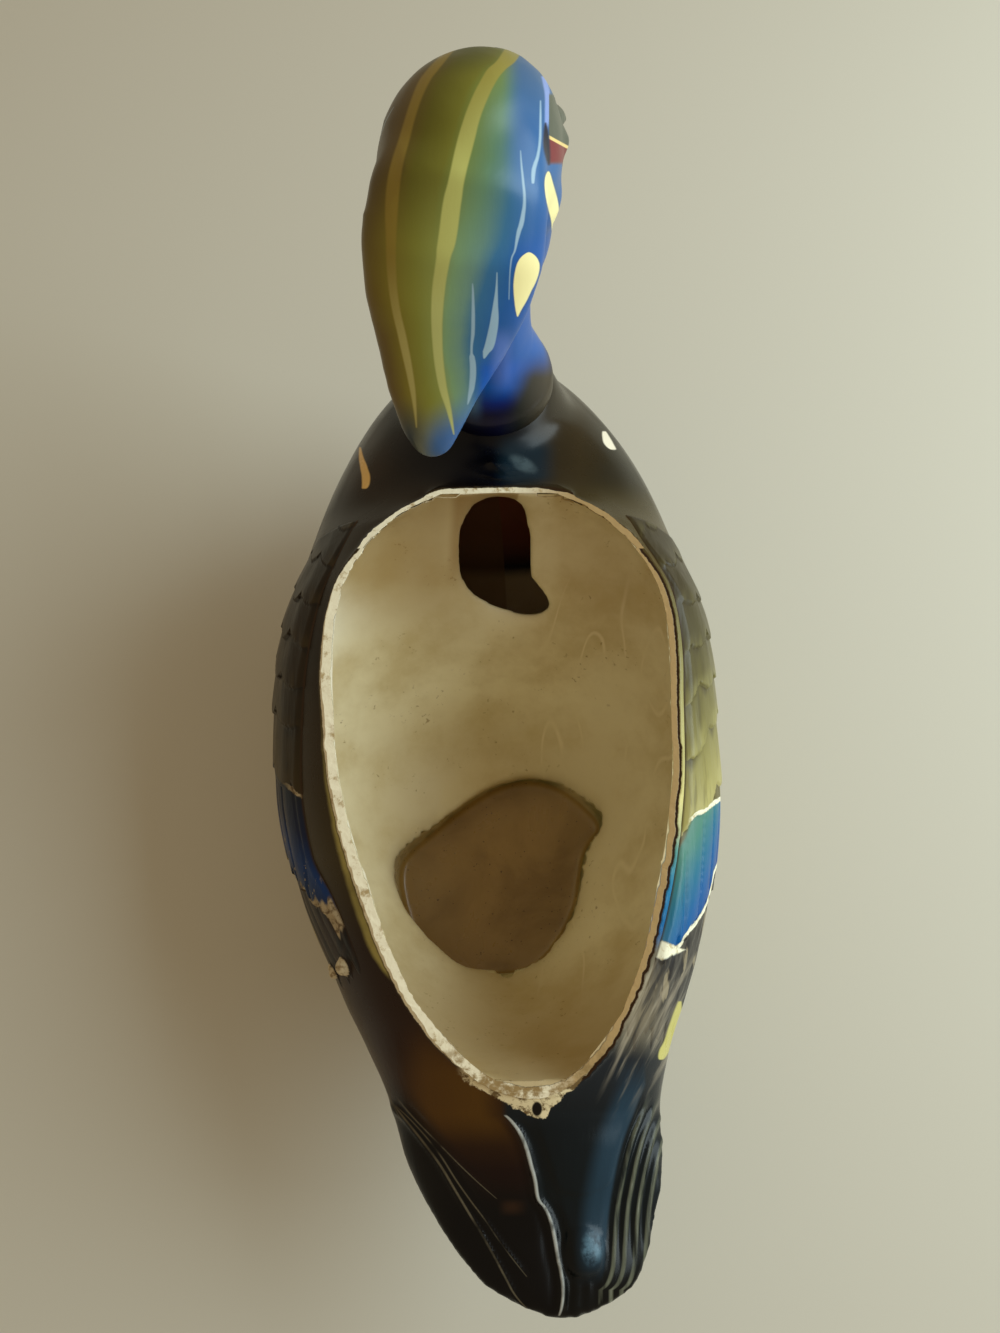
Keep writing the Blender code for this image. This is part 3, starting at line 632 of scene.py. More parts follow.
def feather_rows(back, angle):
    """Height on the feather, which row, and the slanted way back. Back is in millimetres, angle in degrees."""
    along = back - SLANT * (angle - 30)
    height, row = np.zeros_like(along), np.full(along.shape, len(ROW_EDGES))
    last = np.full_like(along, -22.0)
    for i, (edge, width) in enumerate(zip(ROW_EDGES, FEATHER_WIDTH)):
        place = (angle + 0.37 * back * 0.12) / width + 0.5 * (i % 2)
        q = (place - np.floor(place)) * 2 - 1
        here = edge + 3.4 * (1 - q * q) - 1.7 + 1.1 * np.sin(place * 2.3 + i)
        new = (along < here) & (row == len(ROW_EDGES))
        height = np.where(new, np.clip((along - last) / (here - last), 0, 1) + 0.22 * (1 - q * q), height)
        row = np.where(new, i, row)
        last = here
    return height, row, along


def speculum_end(angle):
    broken = 1.2 * np.sin(angle * 0.9) + 0.8 * np.sin(angle * 2.3 + 1)
    return SPECULUM_END - 9 * ramp_up(angle, 47, 55) + broken


def wing_lift(back, angle, low, high, tip):
    """How far the feathers stand off the hull, in millimetres."""
    height, row, along = feather_rows(back, angle)
    end = speculum_end(angle)
    broad = (angle + 0.10 * back) / SECONDARY_WIDTH
    q = (broad - np.floor(broad)) * 2 - 1
    gaps = 0.35 * (np.abs(q) > 0.86)
    second = 1.75 + 0.5 * np.clip((along - LAST_ROW) / 30, 0, 1) + 0.3 * (1 - q * q) - gaps
    narrow = (angle - 0.28 * back) / PRIMARY_WIDTH
    p = (narrow - np.floor(narrow)) * 2 - 1
    primary = 1.15 + 0.4 * (1 - p * p) - 0.5 * np.clip((along - end) / 30, 0, 1)
    lift = np.where(row < len(ROW_EDGES), 1.8 + 0.8 * height, np.where(along < end, second, primary))
    ragged = tip + 2.0 * np.sin(angle * 0.55) + 1.4 * np.sin(angle * 1.3 + 2)
    lift = lift * (0.35 + 0.65 * ramp_up(back, 0, 26)) * (1 - 0.8 * ramp_up(back, tip - 22, tip))
    sunk = 1.0 * ramp_up(back - ragged, -4, 1)
    top = ramp_up(high - angle, 0.0, 2.2) * (0.55 + 0.45 * ramp_up(high - angle, 1, 9))
    upper = np.maximum(lift * top * (0.35 + 0.65 * ramp_up(angle - low, 0, 5)), 0.0)
    return upper - np.maximum(sunk, 0.25 * (high - angle < 0.4))


# %% Lay the wings on the hull
WING_AT, WING_SPAN, WING_GRID = 72.0, 143.0, (250, 110)
RIGHT_TIP, LEFT_TIP = 139, 124
UNDERSIDE = -1.3
RIGHT_TOP = [(-71, 62), (-56, 59), (-43.5, 53.7), (-33, 49.1), (-13.5, 46.3), (7, 43.4), (28.6, 41.1), (45, 41.7),
             (57, 45.5), (63, 49.0), (72, 52)]
LEFT_TOP = [(-71, 33), (-56, 35), (-46, 36), (-32, 33), (-20, 27), (-8, 28), (12, 31), (30, 34), (45, 37),
            (72, 46)]
LOW = [(-71, 14), (-50, 5), (-25, -12), (15, -20), (46, -6), (60, 10), (72, 22)]


def rim_angle(y):
    """Angle at which the rim's plane cuts the hull's skin."""
    wide, level, tall = hull_sizes(y, True)
    return np.degrees(np.arcsin(np.clip((rim_z(y) - level) / tall, 0, 1)))


def make_wing(name, side, top_table, tip):
    """A sheet with an underside, laid on the hull from the shoulder back and lifted feather by feather."""
    bpy.ops.object.select_all(action="DESELECT")
    bpy.ops.mesh.primitive_grid_add(x_subdivisions=WING_GRID[0], y_subdivisions=WING_GRID[1], size=1.0)
    piece = bpy.context.object
    piece.name = name
    grid = np.array([v.co[:2] for v in piece.data.vertices]) + 0.5
    note(piece, "grid_u", grid[:, 0])
    note(piece, "grid_v", grid[:, 1])
    bpy.ops.object.mode_set(mode="EDIT")
    bpy.ops.mesh.select_all(action="SELECT")
    bpy.ops.mesh.extrude_region_move(TRANSFORM_OT_translate={"value": (0, 0, -0.1)})
    bpy.ops.object.mode_set(mode="OBJECT")
    count = len(piece.data.vertices)
    u, v, under = np.empty(count), np.empty(count), np.array([p.co.z < -0.05 for p in piece.data.vertices])
    piece.data.attributes["grid_u"].data.foreach_get("value", u)
    piece.data.attributes["grid_v"].data.foreach_get("value", v)
    y = WING_AT - WING_SPAN * u
    low, high = curve(LOW, y), np.minimum(curve(top_table, y), rim_angle(y) - 1.0)
    angle = low + (high - low) * v
    back = WING_AT - y
    out = np.where(under, UNDERSIDE, wing_lift(back, angle, low, high, tip))
    turned = np.radians(angle if side > 0 else 180 - angle)
    put(piece, hull_skin(y, turned, out))
    height, row, along = feather_rows(back, angle)
    for key, values in (("along", along), ("angle", angle), ("row_height", height),
                        ("end_gap", along - speculum_end(angle)), ("top_gap", high - angle)):
        note(piece, key, values)
    pick(piece)
    bpy.ops.object.mode_set(mode="EDIT")
    bpy.ops.mesh.select_all(action="SELECT")
    bpy.ops.mesh.normals_make_consistent(inside=False)
    bpy.ops.object.mode_set(mode="OBJECT")
    bpy.ops.object.shade_smooth()
    print(name, len(piece.data.polygons), "faces")
    return piece


right_wing = make_wing("right_wing_feathers", 1, RIGHT_TOP, RIGHT_TIP)
left_wing = make_wing("left_wing_feathers", -1, LEFT_TOP, LEFT_TIP)

# %% Lump of plaster where the left wing broke, as three balls at stencil numbers with a radius
LUMPS = [(345, 966, 2.3), (337, 972, 1.6), (331, 968, 1.1)]
LUMP_HIGH = LUMPS[0][2]

co, normal = places(left_wing), facing(left_wing)
across, down = stencil(co)
lump = np.zeros(len(co))
for u, v, radius in LUMPS:
    here = co[(np.hypot(across - u, down - v) < 5) & (normal[:, 2] > 0.2)].mean(axis=0)
    ball = np.sqrt(np.clip(1 - (np.linalg.norm(co - here, axis=1) / radius) ** 2, 0, 1))
    lump = np.maximum(lump, radius / LUMP_HIGH * ball)
co += normal * (LUMP_HIGH * np.minimum(lump, 1))[:, None]
put(left_wing, co)
note(left_wing, "lump", lump)
note(right_wing, "lump", np.zeros(len(right_wing.data.vertices)))
print("lump points", int((lump > 0).sum()))

# %% [markdown]
# ## Head, crest and neck joint
# Three castings meet here, and the joints were sponged smooth before firing. A boolean union would leave a
# sharp line at each joint, so the copies are swollen by 0.35 mm until they touch, fused by a remesh, and
# sponged. The bill gets only the first few rounds of the sponge, because its edges are crisp.

# %% Middle of the skull, its turn and nod, and the axis of the neck
HEAD_VOXEL, BILL_FROM = 0.75, 19
HEAD_AT, NECK_AXIS = np.array([-6.2, 119.5, 177.0]), np.array([-3.0, 112.0])
HEAD_TURN = Matrix.Rotation(math.radians(-24), 3, "Z")
TURN = np.array(HEAD_TURN @ Matrix.Rotation(math.radians(-8), 3, "X"))

# %% Fuse the head
head = copy_of("painted_head", "head_and_neck", "crest", "neck_slip_fillet", swell=0.35)
work(head, "REMESH", mode="VOXEL", voxel_size=HEAD_VOXEL * MM, use_smooth_shade=True)
biggest_shell(head)
smooth(head, 6)
not_bill = (places(head) - HEAD_AT) @ np.array(HEAD_TURN)[:, 1] < BILL_FROM
smooth(head, 45, not_bill)
print("sponged all but the bill", int(not_bill.sum()))

# %% Blend the crest into the crown
co = places(head)
across, down = stencil(co)
near = (np.hypot(across - 368, (down - 165) * 0.7) < 34) & (co[:, 2] > 150)
smooth(head, 160, near)
print("blended", int(near.sum()), "points")

# %% Draw the joint in to the shoulders, and slim the right of the neck
JOINT_RADIUS, SLIMMER = 17.6, 2.8

co = places(head)
from_axis = co[:, :2] - NECK_AXIS
radius = np.hypot(*from_axis.T)
low_part = ramp_up(co[:, 2], 126, 118)
flush = np.where(radius > JOINT_RADIUS, JOINT_RADIUS + 0.3 * (radius - JOINT_RADIUS), radius)
share = 1 + low_part * (flush / np.maximum(radius, 1) - 1)
co[:, :2] = NECK_AXIS + from_axis * share[:, None]
slim = ramp_up(co[:, 2], 111, 124) * ramp_up(co[:, 2], 156, 142) * ramp_up(from_axis[:, 0], 2, 14)
slim *= radius < 24
co[:, 0] -= SLIMMER * slim
put(head, co)
print("joint drawn in by up to", round(float((radius * (1 - share)).max()), 2), "mm")
print("head", len(head.data.polygons), "faces")

# %% [markdown]
# ## The foot
# The duck swims on a low lobed mound. Its glaze pooled thickly, so a remesh and some smoothing melt its facets
# away. A subdivision surface could round it too, but its triangles are long and uneven, and the remesh evens
# them out.

# %% Melt the foot, and raise its upper lobes under the belly
FOOT_VOXEL, FOOT_RAISED, FLOOR_FROM = 1.3, 2.0, 0.6

foot = copy_of("glazed_foot", "plinth_base", swell=0.0)
work(foot, "REMESH", mode="VOXEL", voxel_size=FOOT_VOXEL * MM, use_smooth_shade=True)
smooth(foot, 12)
co = places(foot)
co[:, 2] += FOOT_RAISED * ramp_up(co[:, 2], 18, 27)
co[:, 2] = np.where(co[:, 2] < FLOOR_FROM, 0.0, co[:, 2])
put(foot, co)
print("foot", len(foot.data.polygons), "faces")

# %% [markdown]
# ## The painter's table
# Underglaze colours, a clear glaze over them, grime and chips are all mixed from a few node recipes. They
# read the stencil and the other numbers that the vertices keep, and noise in object space, so that the
# finish turns with the pot.

# %% Recipes for nodes
TREE = None


def start_paint(name):
    """A new paint; the recipes below add to it until the next one is started."""
    global TREE
    paint = bpy.data.materials.new(name)
    paint.use_nodes = True
    TREE = paint.node_tree
    return paint, TREE.nodes["Principled BSDF"]


def wire(value, socket):
    if isinstance(value, bpy.types.NodeSocket):
        TREE.links.new(value, socket)
    else:
        socket.default_value = value


def calc(kind, a, b=0.0, c=0.0, clamp=False):
    node = TREE.nodes.new("ShaderNodeMath")
    node.operation, node.use_clamp = kind, clamp
    for value, socket in zip((a, b, c), node.inputs):
        wire(value, socket)
    return node.outputs[0]


def less(a, b):
    return calc("SUBTRACT", a, b)


def apart(a, b):
    return calc("ABSOLUTE", less(a, b))


def plus(start, share, value):
    """The start, with a share of the value added."""
    return calc("MULTIPLY_ADD", value, share, start)


def soft(value, low, high, start=0.0, end=1.0):
    """Smooth step from the start to the end, as the value goes from low to high."""
    node = TREE.nodes.new("ShaderNodeMapRange")
    node.interpolation_type = "SMOOTHSTEP"
    if low > high:
        low, high, start, end = high, low, end, start
    for entry, socket in zip((value, low, high, start, end), node.inputs):
        wire(entry, socket)
    return node.outputs[0]


def any_of(*masks):
    out = masks[0]
    for mask in masks[1:]:
        out = calc("MAXIMUM", out, mask)
    return out


def both(*masks):
    """Where all the masks are 1; a plain number among them thins the paint."""
    out = masks[0]
    for mask in masks[1:]:
        out = calc("MULTIPLY", out, mask)
    return out


def over(under, colour, mask):
    """Lays a colour over another where the mask is 1."""
    node = TREE.nodes.new("ShaderNodeMix")
    node.data_type = "RGBA"
    wire(mask, node.inputs[0])
    wire(under, node.inputs[6])
    wire(colour, node.inputs[7])
    return node.outputs[2]


def brush(under, shade, *masks):
    """Lays a colour, given as red, green and blue, over another where all the masks are 1."""
    return over(under, tint(*shade), both(*masks))


def oval(across, down, at, radii):
    """Squared distance from the middle of an oval: 1 on its edge."""
    return calc("ADD", *(calc("POWER", calc("DIVIDE", less(value, middle), radius), 2.0)
                         for value, middle, radius in zip((across, down), at, radii)))


def number(name):
    node = TREE.nodes.new("ShaderNodeAttribute")
    node.attribute_name = name
    return node.outputs["Fac"]


def spot():
    return TREE.nodes.new("ShaderNodeTexCoord").outputs["Object"]


def grain(scale, detail=3.0, rough=0.5, twist=0.0, stretch=None, turn=None):
    """Noise of a given number of grains to the metre, stretched along an axis if asked."""
    node = TREE.nodes.new("ShaderNodeTexNoise")
    place = spot()
    if stretch:
        lay = TREE.nodes.new("ShaderNodeMapping")
        lay.inputs["Scale"].default_value = stretch
        if turn:
            lay.inputs["Rotation"].default_value = turn
        wire(place, lay.inputs["Vector"])
        place = lay.outputs[0]
    wire(place, node.inputs["Vector"])
    for key, value in (("Scale", scale), ("Detail", detail), ("Roughness", rough), ("Distortion", twist)):
        node.inputs[key].default_value = value
    return node.outputs["Fac"]


def share_of(value, low, high):
    return calc("DIVIDE", less(value, low), high - low, clamp=True)


def bands(value, *stops):
    """Colours along a value: each stop is a place on it and a colour's red, green and blue."""
    node = TREE.nodes.new("ShaderNodeValToRGB")
    low, high = stops[0][0], stops[-1][0]
    ramp = node.color_ramp
    while len(ramp.elements) < len(stops):
        ramp.elements.new(0.5)
    for element, (place, *shade) in zip(ramp.elements, stops):
        element.position, element.color = (place - low) / (high - low), tint(*shade)
    wire(share_of(value, low, high), node.inputs[0])
    return node.outputs[0]


def follow(value, points):
    """A drawn line: what the second number is where the value is the first."""
    node = TREE.nodes.new("ShaderNodeFloatCurve")
    xs, ys = [p[0] for p in points], [p[1] for p in points]
    low, high, bottom, top = xs[0], xs[-1], min(ys) - 1, max(ys) + 1
    line = node.mapping.curves[0]
    while len(line.points) < len(points):
        line.points.new(0.5, 0.5)
    for knot, (x, y) in zip(line.points, points):
        knot.location = ((x - low) / (high - low), (y - bottom) / (top - bottom))
    node.mapping.update()
    wire(share_of(value, low, high), node.inputs["Value"])
    return plus(bottom, top - bottom, node.outputs[0])


def stroke(across, down, points, edge=0.8, fade=6.0):
    """One brush stroke, drawn as points of (across, down, half-width) from its upper end to its lower."""
    centre = follow(down, [(v, u) for u, v, w in points])
    width = follow(down, [(v, w) for u, v, w in points])
    start, end = points[0][1], points[-1][1]
    ends = both(soft(down, start - 0.5, start + fade * 0.2), soft(down, end + 0.5, end - fade * 0.2))
    return both(soft(less(apart(across, centre), width), edge, -edge), ends)


def combed(along, across, stretch, scale, detail=3.0):
    """Noise drawn out into streaks that follow two stencil numbers."""
    join = TREE.nodes.new("ShaderNodeCombineXYZ")
    wire(calc("MULTIPLY", along, 1.0 / stretch), join.inputs[0])
    wire(across, join.inputs[1])
    node = TREE.nodes.new("ShaderNodeTexNoise")
    wire(join.outputs[0], node.inputs["Vector"])
    node.inputs["Scale"].default_value, node.inputs["Detail"].default_value = scale, detail
    return node.outputs["Fac"]


def between(a, b, share):
    """A number that goes from a to b as the share goes from 0 to 1."""
    return plus(a, share, less(b, a))


def bump(shader, height, strength, distance):
    node = TREE.nodes.new("ShaderNodeBump")
    node.inputs["Strength"].default_value = strength
    node.inputs["Distance"].default_value = distance
    wire(height, node.inputs["Height"])
    wire(node.outputs[0], shader.inputs["Normal"])


def glaze(shader, roughness, ior=1.5):
    wire(roughness, shader.inputs["Roughness"])
    shader.inputs["IOR"].default_value = ior


def dress(piece, paint):
    piece.data.materials.clear()
    piece.data.materials.append(paint)
    print(piece.name, "wears", paint.name)


# %% [markdown]
# ## Stencil numbers on every piece
# The head also keeps the stencil of its mirrored side, so that the face marks that were read on the duck's
# right cheek come out on the left cheek as well, which the photo doesn't show.

# %% Keep the stencil
MASK_ROUNDS = 16

for piece in (shell, right_wing, left_wing, head, foot):
    keep_stencil(piece)
    seen = seen_from_above(piece)
    if piece is not head:
        seen = np.minimum(1, 2 * eased(piece, seen, MASK_ROUNDS))
    note(piece, "seen", seen)
    print(piece.name, "seen from the stencil", round(float(seen.mean()), 2))

# %% Keep the head's own numbers: where each point lies from the middle of the skull, and its mirrored stencil
co = places(head)
local = (co - HEAD_AT) @ TURN
mirrored = np.abs(local[:, :1]) * [1, 0, 0] + local * [0, 1, 1]
across, down = stencil(mirrored @ TURN.T + HEAD_AT)
note(head, "face_across", across)
note(head, "face_down", down)
for i, name in enumerate(("head_x", "head_y", "head_z")):
    note(head, name, local[:, i])
note(head, "height", co[:, 2])
print("head from", local.min(axis=0).round(1), "to", local.max(axis=0).round(1), "mm")


# %% How far round the hull each point lies
def keep_girth(piece):
    """The angle up from the widest line, the share of the half-width, and the places along and up."""
    co = places(piece)
    wide, level, tall, across, above = section_at(co)
    side = across / np.maximum(wide, 1)
    note(piece, "girth", np.degrees(np.arctan2(above / np.maximum(tall, 1), np.abs(side))))
    note(piece, "side", np.sign(side) * np.minimum(np.abs(side), 2))
    note(piece, "station_y", co[:, 1])
    note(piece, "height", co[:, 2])


for piece in (shell, right_wing, left_wing, foot):
    keep_girth(piece)
note(shell, "from_neck", np.hypot(*(places(shell)[:, :2] - NECK_AXIS).T))
print("girth kept on 4 pieces")

# %% [markdown]
# ## The head's paint
# Olive and green run down the crown and crest between two pale stripes, and blue covers the cheeks. White
# lines and two cream ovals are brushed on top. An artist would glaze it in one firing over all of that, so
# one clear gloss covers every colour.

# %% Marks of the head
LEFT_STRIPE = [(456, 44, 3.5), (449, 51, 4.5), (441, 60, 5), (432.5, 70, 5.5), (425, 80, 5.5), (416, 100, 5),
               (409.5, 120, 5), (404, 140, 5.5), (398, 160, 6), (394, 180, 6.5), (392, 200, 6.5), (391, 240, 5),
               (391.5, 270, 4.5), (394.5, 300, 4), (403, 340, 4), (411, 380, 3), (414, 400, 2), (416.5, 428, 0.2)]
RIGHT_STRIPE = [(515, 46, 7), (507, 60, 9.5), (496, 70, 9), (489, 80, 8), (479, 100, 8), (471.5, 120, 8),
                (466, 140, 8.5), (456.5, 180, 8), (452.5, 200, 9), (447, 240, 9), (443, 260, 7), (437.7, 300, 6),
                (437.3, 340, 4.8), (441.5, 380, 4), (449.6, 413, 2), (454, 435, 0.2)]
LINE_BEHIND_EYE = [(520.5, 150, 0.3), (521.5, 165, 0.8), (523, 180, 1.1), (524.5, 200, 1.4), (523, 215, 2),
                   (521, 225, 2.3), (519, 231, 2.1), (517, 240, 1.5), (515, 250, 0.9), (511, 262, 0.6),
                   (509, 300, 0.3)]
SHADED_BILL_RECESS = [(545.5, 122, 0.5), (546, 132, 2.6), (546.5, 145, 3.4), (548, 158, 2.4), (549, 166, 0.3)]
BROW = [(543, 76, 2), (546, 86, 2.6), (547.5, 96, 2.6), (547.5, 112, 2.6), (546.5, 126, 1.6), (545.5, 134, 0.4)]
LID = [(540.5, 100, 0.5), (540.5, 120, 1), (540, 140, 1.2), (538, 155, 1.5), (535, 165, 2), (533.5, 172, 2),
       (533, 184, 0.3)]
CREST_LINE = [(472.5, 283, 0.3), (473, 295, 1.1), (473, 330, 1.8), (471.5, 352, 1.2), (472, 357, 2.6),
              (473, 370, 3.1), (472, 385, 2.9), (470, 395, 2), (467.5, 405, 0.3)]
NECK_LINE = [(497, 272, 0.4), (496.5, 290, 1.2), (495.5, 305, 2.5), (494.5, 320, 4), (492, 335, 4.7),
             (489, 347, 4.7), (486, 353, 3), (484, 359, 0.4)]
UPPER_OVAL = [(548.5, 171, 0.3), (548.3, 175, 2.4), (548.5, 180, 3.6), (550, 190, 5), (552, 200, 5.6),
              (553.8, 210, 5.2), (555, 220, 4), (554.5, 230, 2.6), (553, 241, 0.3)]
LOWER_OVAL = [(529, 252, 0.4), (529, 254, 4), (528.8, 257, 7.4), (528.5, 261, 10), (528, 266, 11.6),
              (527, 272, 12), (525, 281, 11.2), (522.5, 291, 8.8), (520.5, 301, 6), (518.5, 310, 2.8),
              (517.5, 317, 0.3)]

# %% Start the head's paint
head_paint, shader = start_paint("painted_head_glaze")
U, V, seen = number("across"), number("down"), number("seen")
FU, FV = number("face_across"), number("face_down")
hx, hy, hz, level = number("head_x"), number("head_y"), number("head_z"), number("height")
cloud = grain(70, 4, 0.55)
streak = grain(30, 4, 0.6, stretch=(9, 1.2, 1.6))
drift = plus(U, 16.0, less(cloud, 0.5))

# %% Across the crown, measured from its left stripe to its right stripe
TIP_AT = 435

left_line = follow(V, [(v, u) for u, v, w in LEFT_STRIPE])
right_line = follow(V, [(v, u) for u, v, w in RIGHT_STRIPE])
span = calc("DIVIDE", less(drift, left_line), less(right_line, left_line))
crown_top = bands(span, (-0.9, 60, 50, 34), (-0.35, 78, 62, 22), (-0.05, 98, 80, 18),
                  (0.3, 98, 94, 22), (0.75, 112, 110, 36), (1.05, 112, 130, 64),
                  (1.45, 92, 128, 96), (1.95, 46, 104, 132), (2.4, 16, 84, 146),
                  (3.2, 14, 78, 148))
crown_low = bands(span, (-1.6, 84, 66, 34), (-0.6, 112, 92, 32), (-0.1, 138, 128, 40),
                  (0.45, 142, 144, 58), (0.95, 148, 158, 84), (1.25, 132, 168, 124),
                  (1.65, 112, 150, 138), (2.0, 52, 110, 154), (2.6, 12, 84, 154),
                  (3.6, 14, 76, 148))
colour = over(crown_top, crown_low, soft(V, 150, 300))
colour = brush(colour, (72, 76, 28), soft(V, 80, 44), soft(U, 535, 470))
tip = soft(calc("ADD", V, both(less(U, TIP_AT), 0.55)), 398, 448)
colour = brush(colour, (70, 112, 172), tip, soft(U, 405, 440))
colour = brush(colour, (52, 66, 78), soft(V, 392, 440), soft(U, 432, 408))

# %% Cheeks, throat and neck are blue; the unseen left cheek mirrors the right one
cheek = bands(plus(FV, 24.0, less(cloud, 0.5)), (80, 62, 100, 140),
              (130, 46, 98, 154), (200, 44, 102, 162), (245, 10, 86, 164),
              (330, 34, 80, 150), (380, 14, 58, 130), (430, 4, 10, 60))
hidden = less(1.0, seen)
below_crest = any_of(both(soft(hz, 6, -6), soft(hy, -24, -6)), soft(hz, -16, -26))
colour = over(colour, cheek, any_of(both(soft(U, 500, 524), soft(V, 250, 150)), both(hidden, below_crest)))
colour = brush(colour, (8, 84, 162), soft(U, 506, 520), soft(V, 225, 262), seen)
nape = bands(V, (340, 24, 80, 164), (388, 8, 92, 190), (404, 3, 40, 130), (416, 1, 6, 70), (436, 1, 2, 30))
colour = over(colour, nape, both(seen, soft(V, 352, 372), soft(U, 474, 486)))
lilac = both(seen, soft(U, 486, 500), soft(U, 516, 504), soft(V, 322, 345), soft(V, 400, 375))
colour = brush(colour, (92, 122, 200), lilac, 0.6)
neck_dark = both(soft(level, 138, 112), any_of(hidden, soft(V, 395, 425)))
colour = brush(colour, (10, 12, 38), neck_dark, soft(level, 130, 106))
colour = brush(colour, (30, 74, 150), hidden, soft(level, 150, 164), soft(hy, -10, -2))

# %% The root of the neck is dark and takes the brown of the right shoulder
collar = bands(U, (440, 1, 1, 10), (500, 2, 4, 40), (520, 22, 24, 20), (548, 56, 46, 28))
slanted = plus(U, 0.45, less(V, 350))
colour = over(colour, collar, both(seen, soft(V, 344, 380), soft(slanted, 514, 548)))
ring = any_of(hidden, soft(V, 392, 410), soft(U, 512, 528))
colour = over(colour, collar, both(soft(level, 116, 108), ring))

# %% Marks that the brush left: stripes, white lines and the two cream ovals
pale = brush(tint(150, 138, 62), (196, 196, 112), soft(V, 60, 200))
colour = brush(colour, (150, 128, 48), stroke(U, V, LEFT_STRIPE, 1.6), seen, 0.8)
colour = brush(colour, (196, 188, 116), stroke(U, V, LEFT_STRIPE, 1.2), seen, soft(V, 240, 360), 0.8)
colour = over(colour, pale, both(stroke(U, V, RIGHT_STRIPE, 1.3), seen, 0.9))
colour = brush(colour, (200, 204, 132), stroke(U, V, RIGHT_STRIPE, 1.2), seen, soft(V, 240, 330), 0.7)
white = any_of(both(seen, any_of(stroke(U, V, CREST_LINE), stroke(U, V, NECK_LINE))),
               stroke(FU, FV, LINE_BEHIND_EYE, 0.9), stroke(FU, FV, LID, 0.9))
colour = brush(colour, (158, 188, 208), white, soft(level, 112, 122), 0.9)
colour = brush(colour, (132, 156, 214), stroke(FU, FV, BROW, 1.2), soft(hz, -12, -6))
on_face = both(soft(calc("ABSOLUTE", hx), 6, 8), soft(level, 122, 128))
for shade, edge, fade in (((38, 70, 110), 3.0, 10), ((250, 238, 172), 0.8, 6)):
    ovals = any_of(*(stroke(FU, FV, line, edge, fade) for line in (UPPER_OVAL, LOWER_OVAL)))
    colour = brush(colour, shade, ovals, on_face)

# %% The bill, dark red at its root behind a yellow line
BILL_ROOT = 24.2

either_side = calc("ABSOLUTE", hx)
ahead = less(less(hy, both(either_side, -0.12)), BILL_ROOT)
bill = brush(tint(84, 88, 72), (16, 16, 16), soft(ahead, 13, 16))
bill = brush(bill, (24, 22, 20), soft(either_side, 3.2, 1.8), soft(hz, -6, -3))
bill = brush(bill, (110, 34, 40), soft(either_side, 3.4, 4.6), soft(ahead, 5, 3), soft(hz, 0, -3))
bill = brush(bill, (238, 206, 128), soft(apart(ahead, 0.3), 1.0, 0.6), soft(hz, 5, 3))
colour = over(colour, bill, both(soft(ahead, -0.8, -0.4), soft(hz, 8, 4)))

# %% The eyes, as balls of paint: a dark lid, a red ring and a black pupil
EYE_AT = (17.2, 13.2, 1.3)

squares = [calc("POWER", less(value, middle), 2.0) for value, middle in zip((either_side, hy, hz), EYE_AT)]
eye_away = calc("SQRT", calc("ADD", squares[0], calc("ADD", squares[1], squares[2])))
for shade, outer, inner in (((10, 16, 44), 6.6, 5.2), ((150, 26, 20), 4.0, 3.6), ((8, 5, 5), 2.4, 2.1)):
    colour = brush(colour, shade, soft(eye_away, outer, inner))

# %% From above, the corner of the bill shows past the brow: grey, then a yellow line, then dark red, with painted shade in the recess beside it
corner = both(seen, soft(U, 548.5, 549.5), soft(V, 166, 160))
colour = brush(colour, (84, 88, 74), corner, soft(V, 92, 96))
slope = plus(V, -0.55, less(U, 549))
colour = brush(colour, (120, 34, 40), corner, soft(slope, 137, 138.5))
colour = brush(colour, (236, 206, 132), corner, soft(apart(slope, 137), 2.2, 1.2))
# painted shade in the recess between brow and bill
colour = brush(colour, (8, 14, 40), stroke(U, V, SHADED_BILL_RECESS, 1.6), seen)

# %% Glaze the head
dress(head, head_paint)
wire(colour, shader.inputs["Base Color"])
glaze(shader, soft(cloud, 0.3, 0.7, 0.3, 0.4), 1.4)
bump(shader, streak, 0.12, 0.0004)

# %% [markdown]
# ## The hull's paint
# Outside, the back is dark brown and olive, nearly black at the neck and tail, with painted shade on its left
# side and painted light on its right. Inside is a cream glaze, darker towards the bottom, with painted shade on
# its front, rear and right walls and a painted pool of light on its left wall. The rim between them is bare clay,
# darker along its outer edge. One material with masks is used rather than three, because the colours run into
# each other at the rim.

# %% Start the paint of hull and tail
hull_paint, shader = start_paint("painted_hull_glaze")
U, V, seen = number("across"), number("down"), number("seen")
inside, rim = number("inside"), number("across_rim")
girth, side, along, level, neck = (number(n) for n in ("girth", "side", "station_y", "height", "from_neck"))
cloud, fine = grain(45, 5, 0.6), grain(600, 3, 0.6)
barbs = grain(260, 3, 0.65, stretch=(1.0, 0.12, 1.0))
wander = less(cloud, 0.5)

# %% The back, left of the opening and right of it: its own dark olive and brown, with painted shade on the left and painted light on the right
left_back_with_shade = bands(V, (400, 16, 8, 2), (480, 24, 14, 2), (560, 34, 22, 4),
                  (660, 30, 20, 3), (720, 44, 31, 4), (780, 50, 37, 6), (860, 60, 48, 14),
                  (950, 38, 20, 4), (1040, 42, 18, 2), (1120, 54, 30, 4),
                  (1170, 24, 6, 3), (1230, 3, 2, 2))
right_back_with_light = bands(V, (400, 52, 44, 26), (480, 44, 36, 12), (560, 84, 70, 36),
                   (640, 126, 118, 72), (740, 186, 178, 118), (800, 214, 204, 136),
                   (830, 180, 182, 136), (850, 92, 148, 140), (885, 40, 120, 160),
                   (930, 30, 96, 150), (952, 110, 102, 84), (1000, 96, 92, 80),
                   (1060, 30, 34, 38), (1130, 10, 18, 22), (1200, 8, 18, 22),
                   (1290, 8, 10, 10))
quill_line = follow(V, [(v, u) for u, v, w in CENTRE_QUILL])
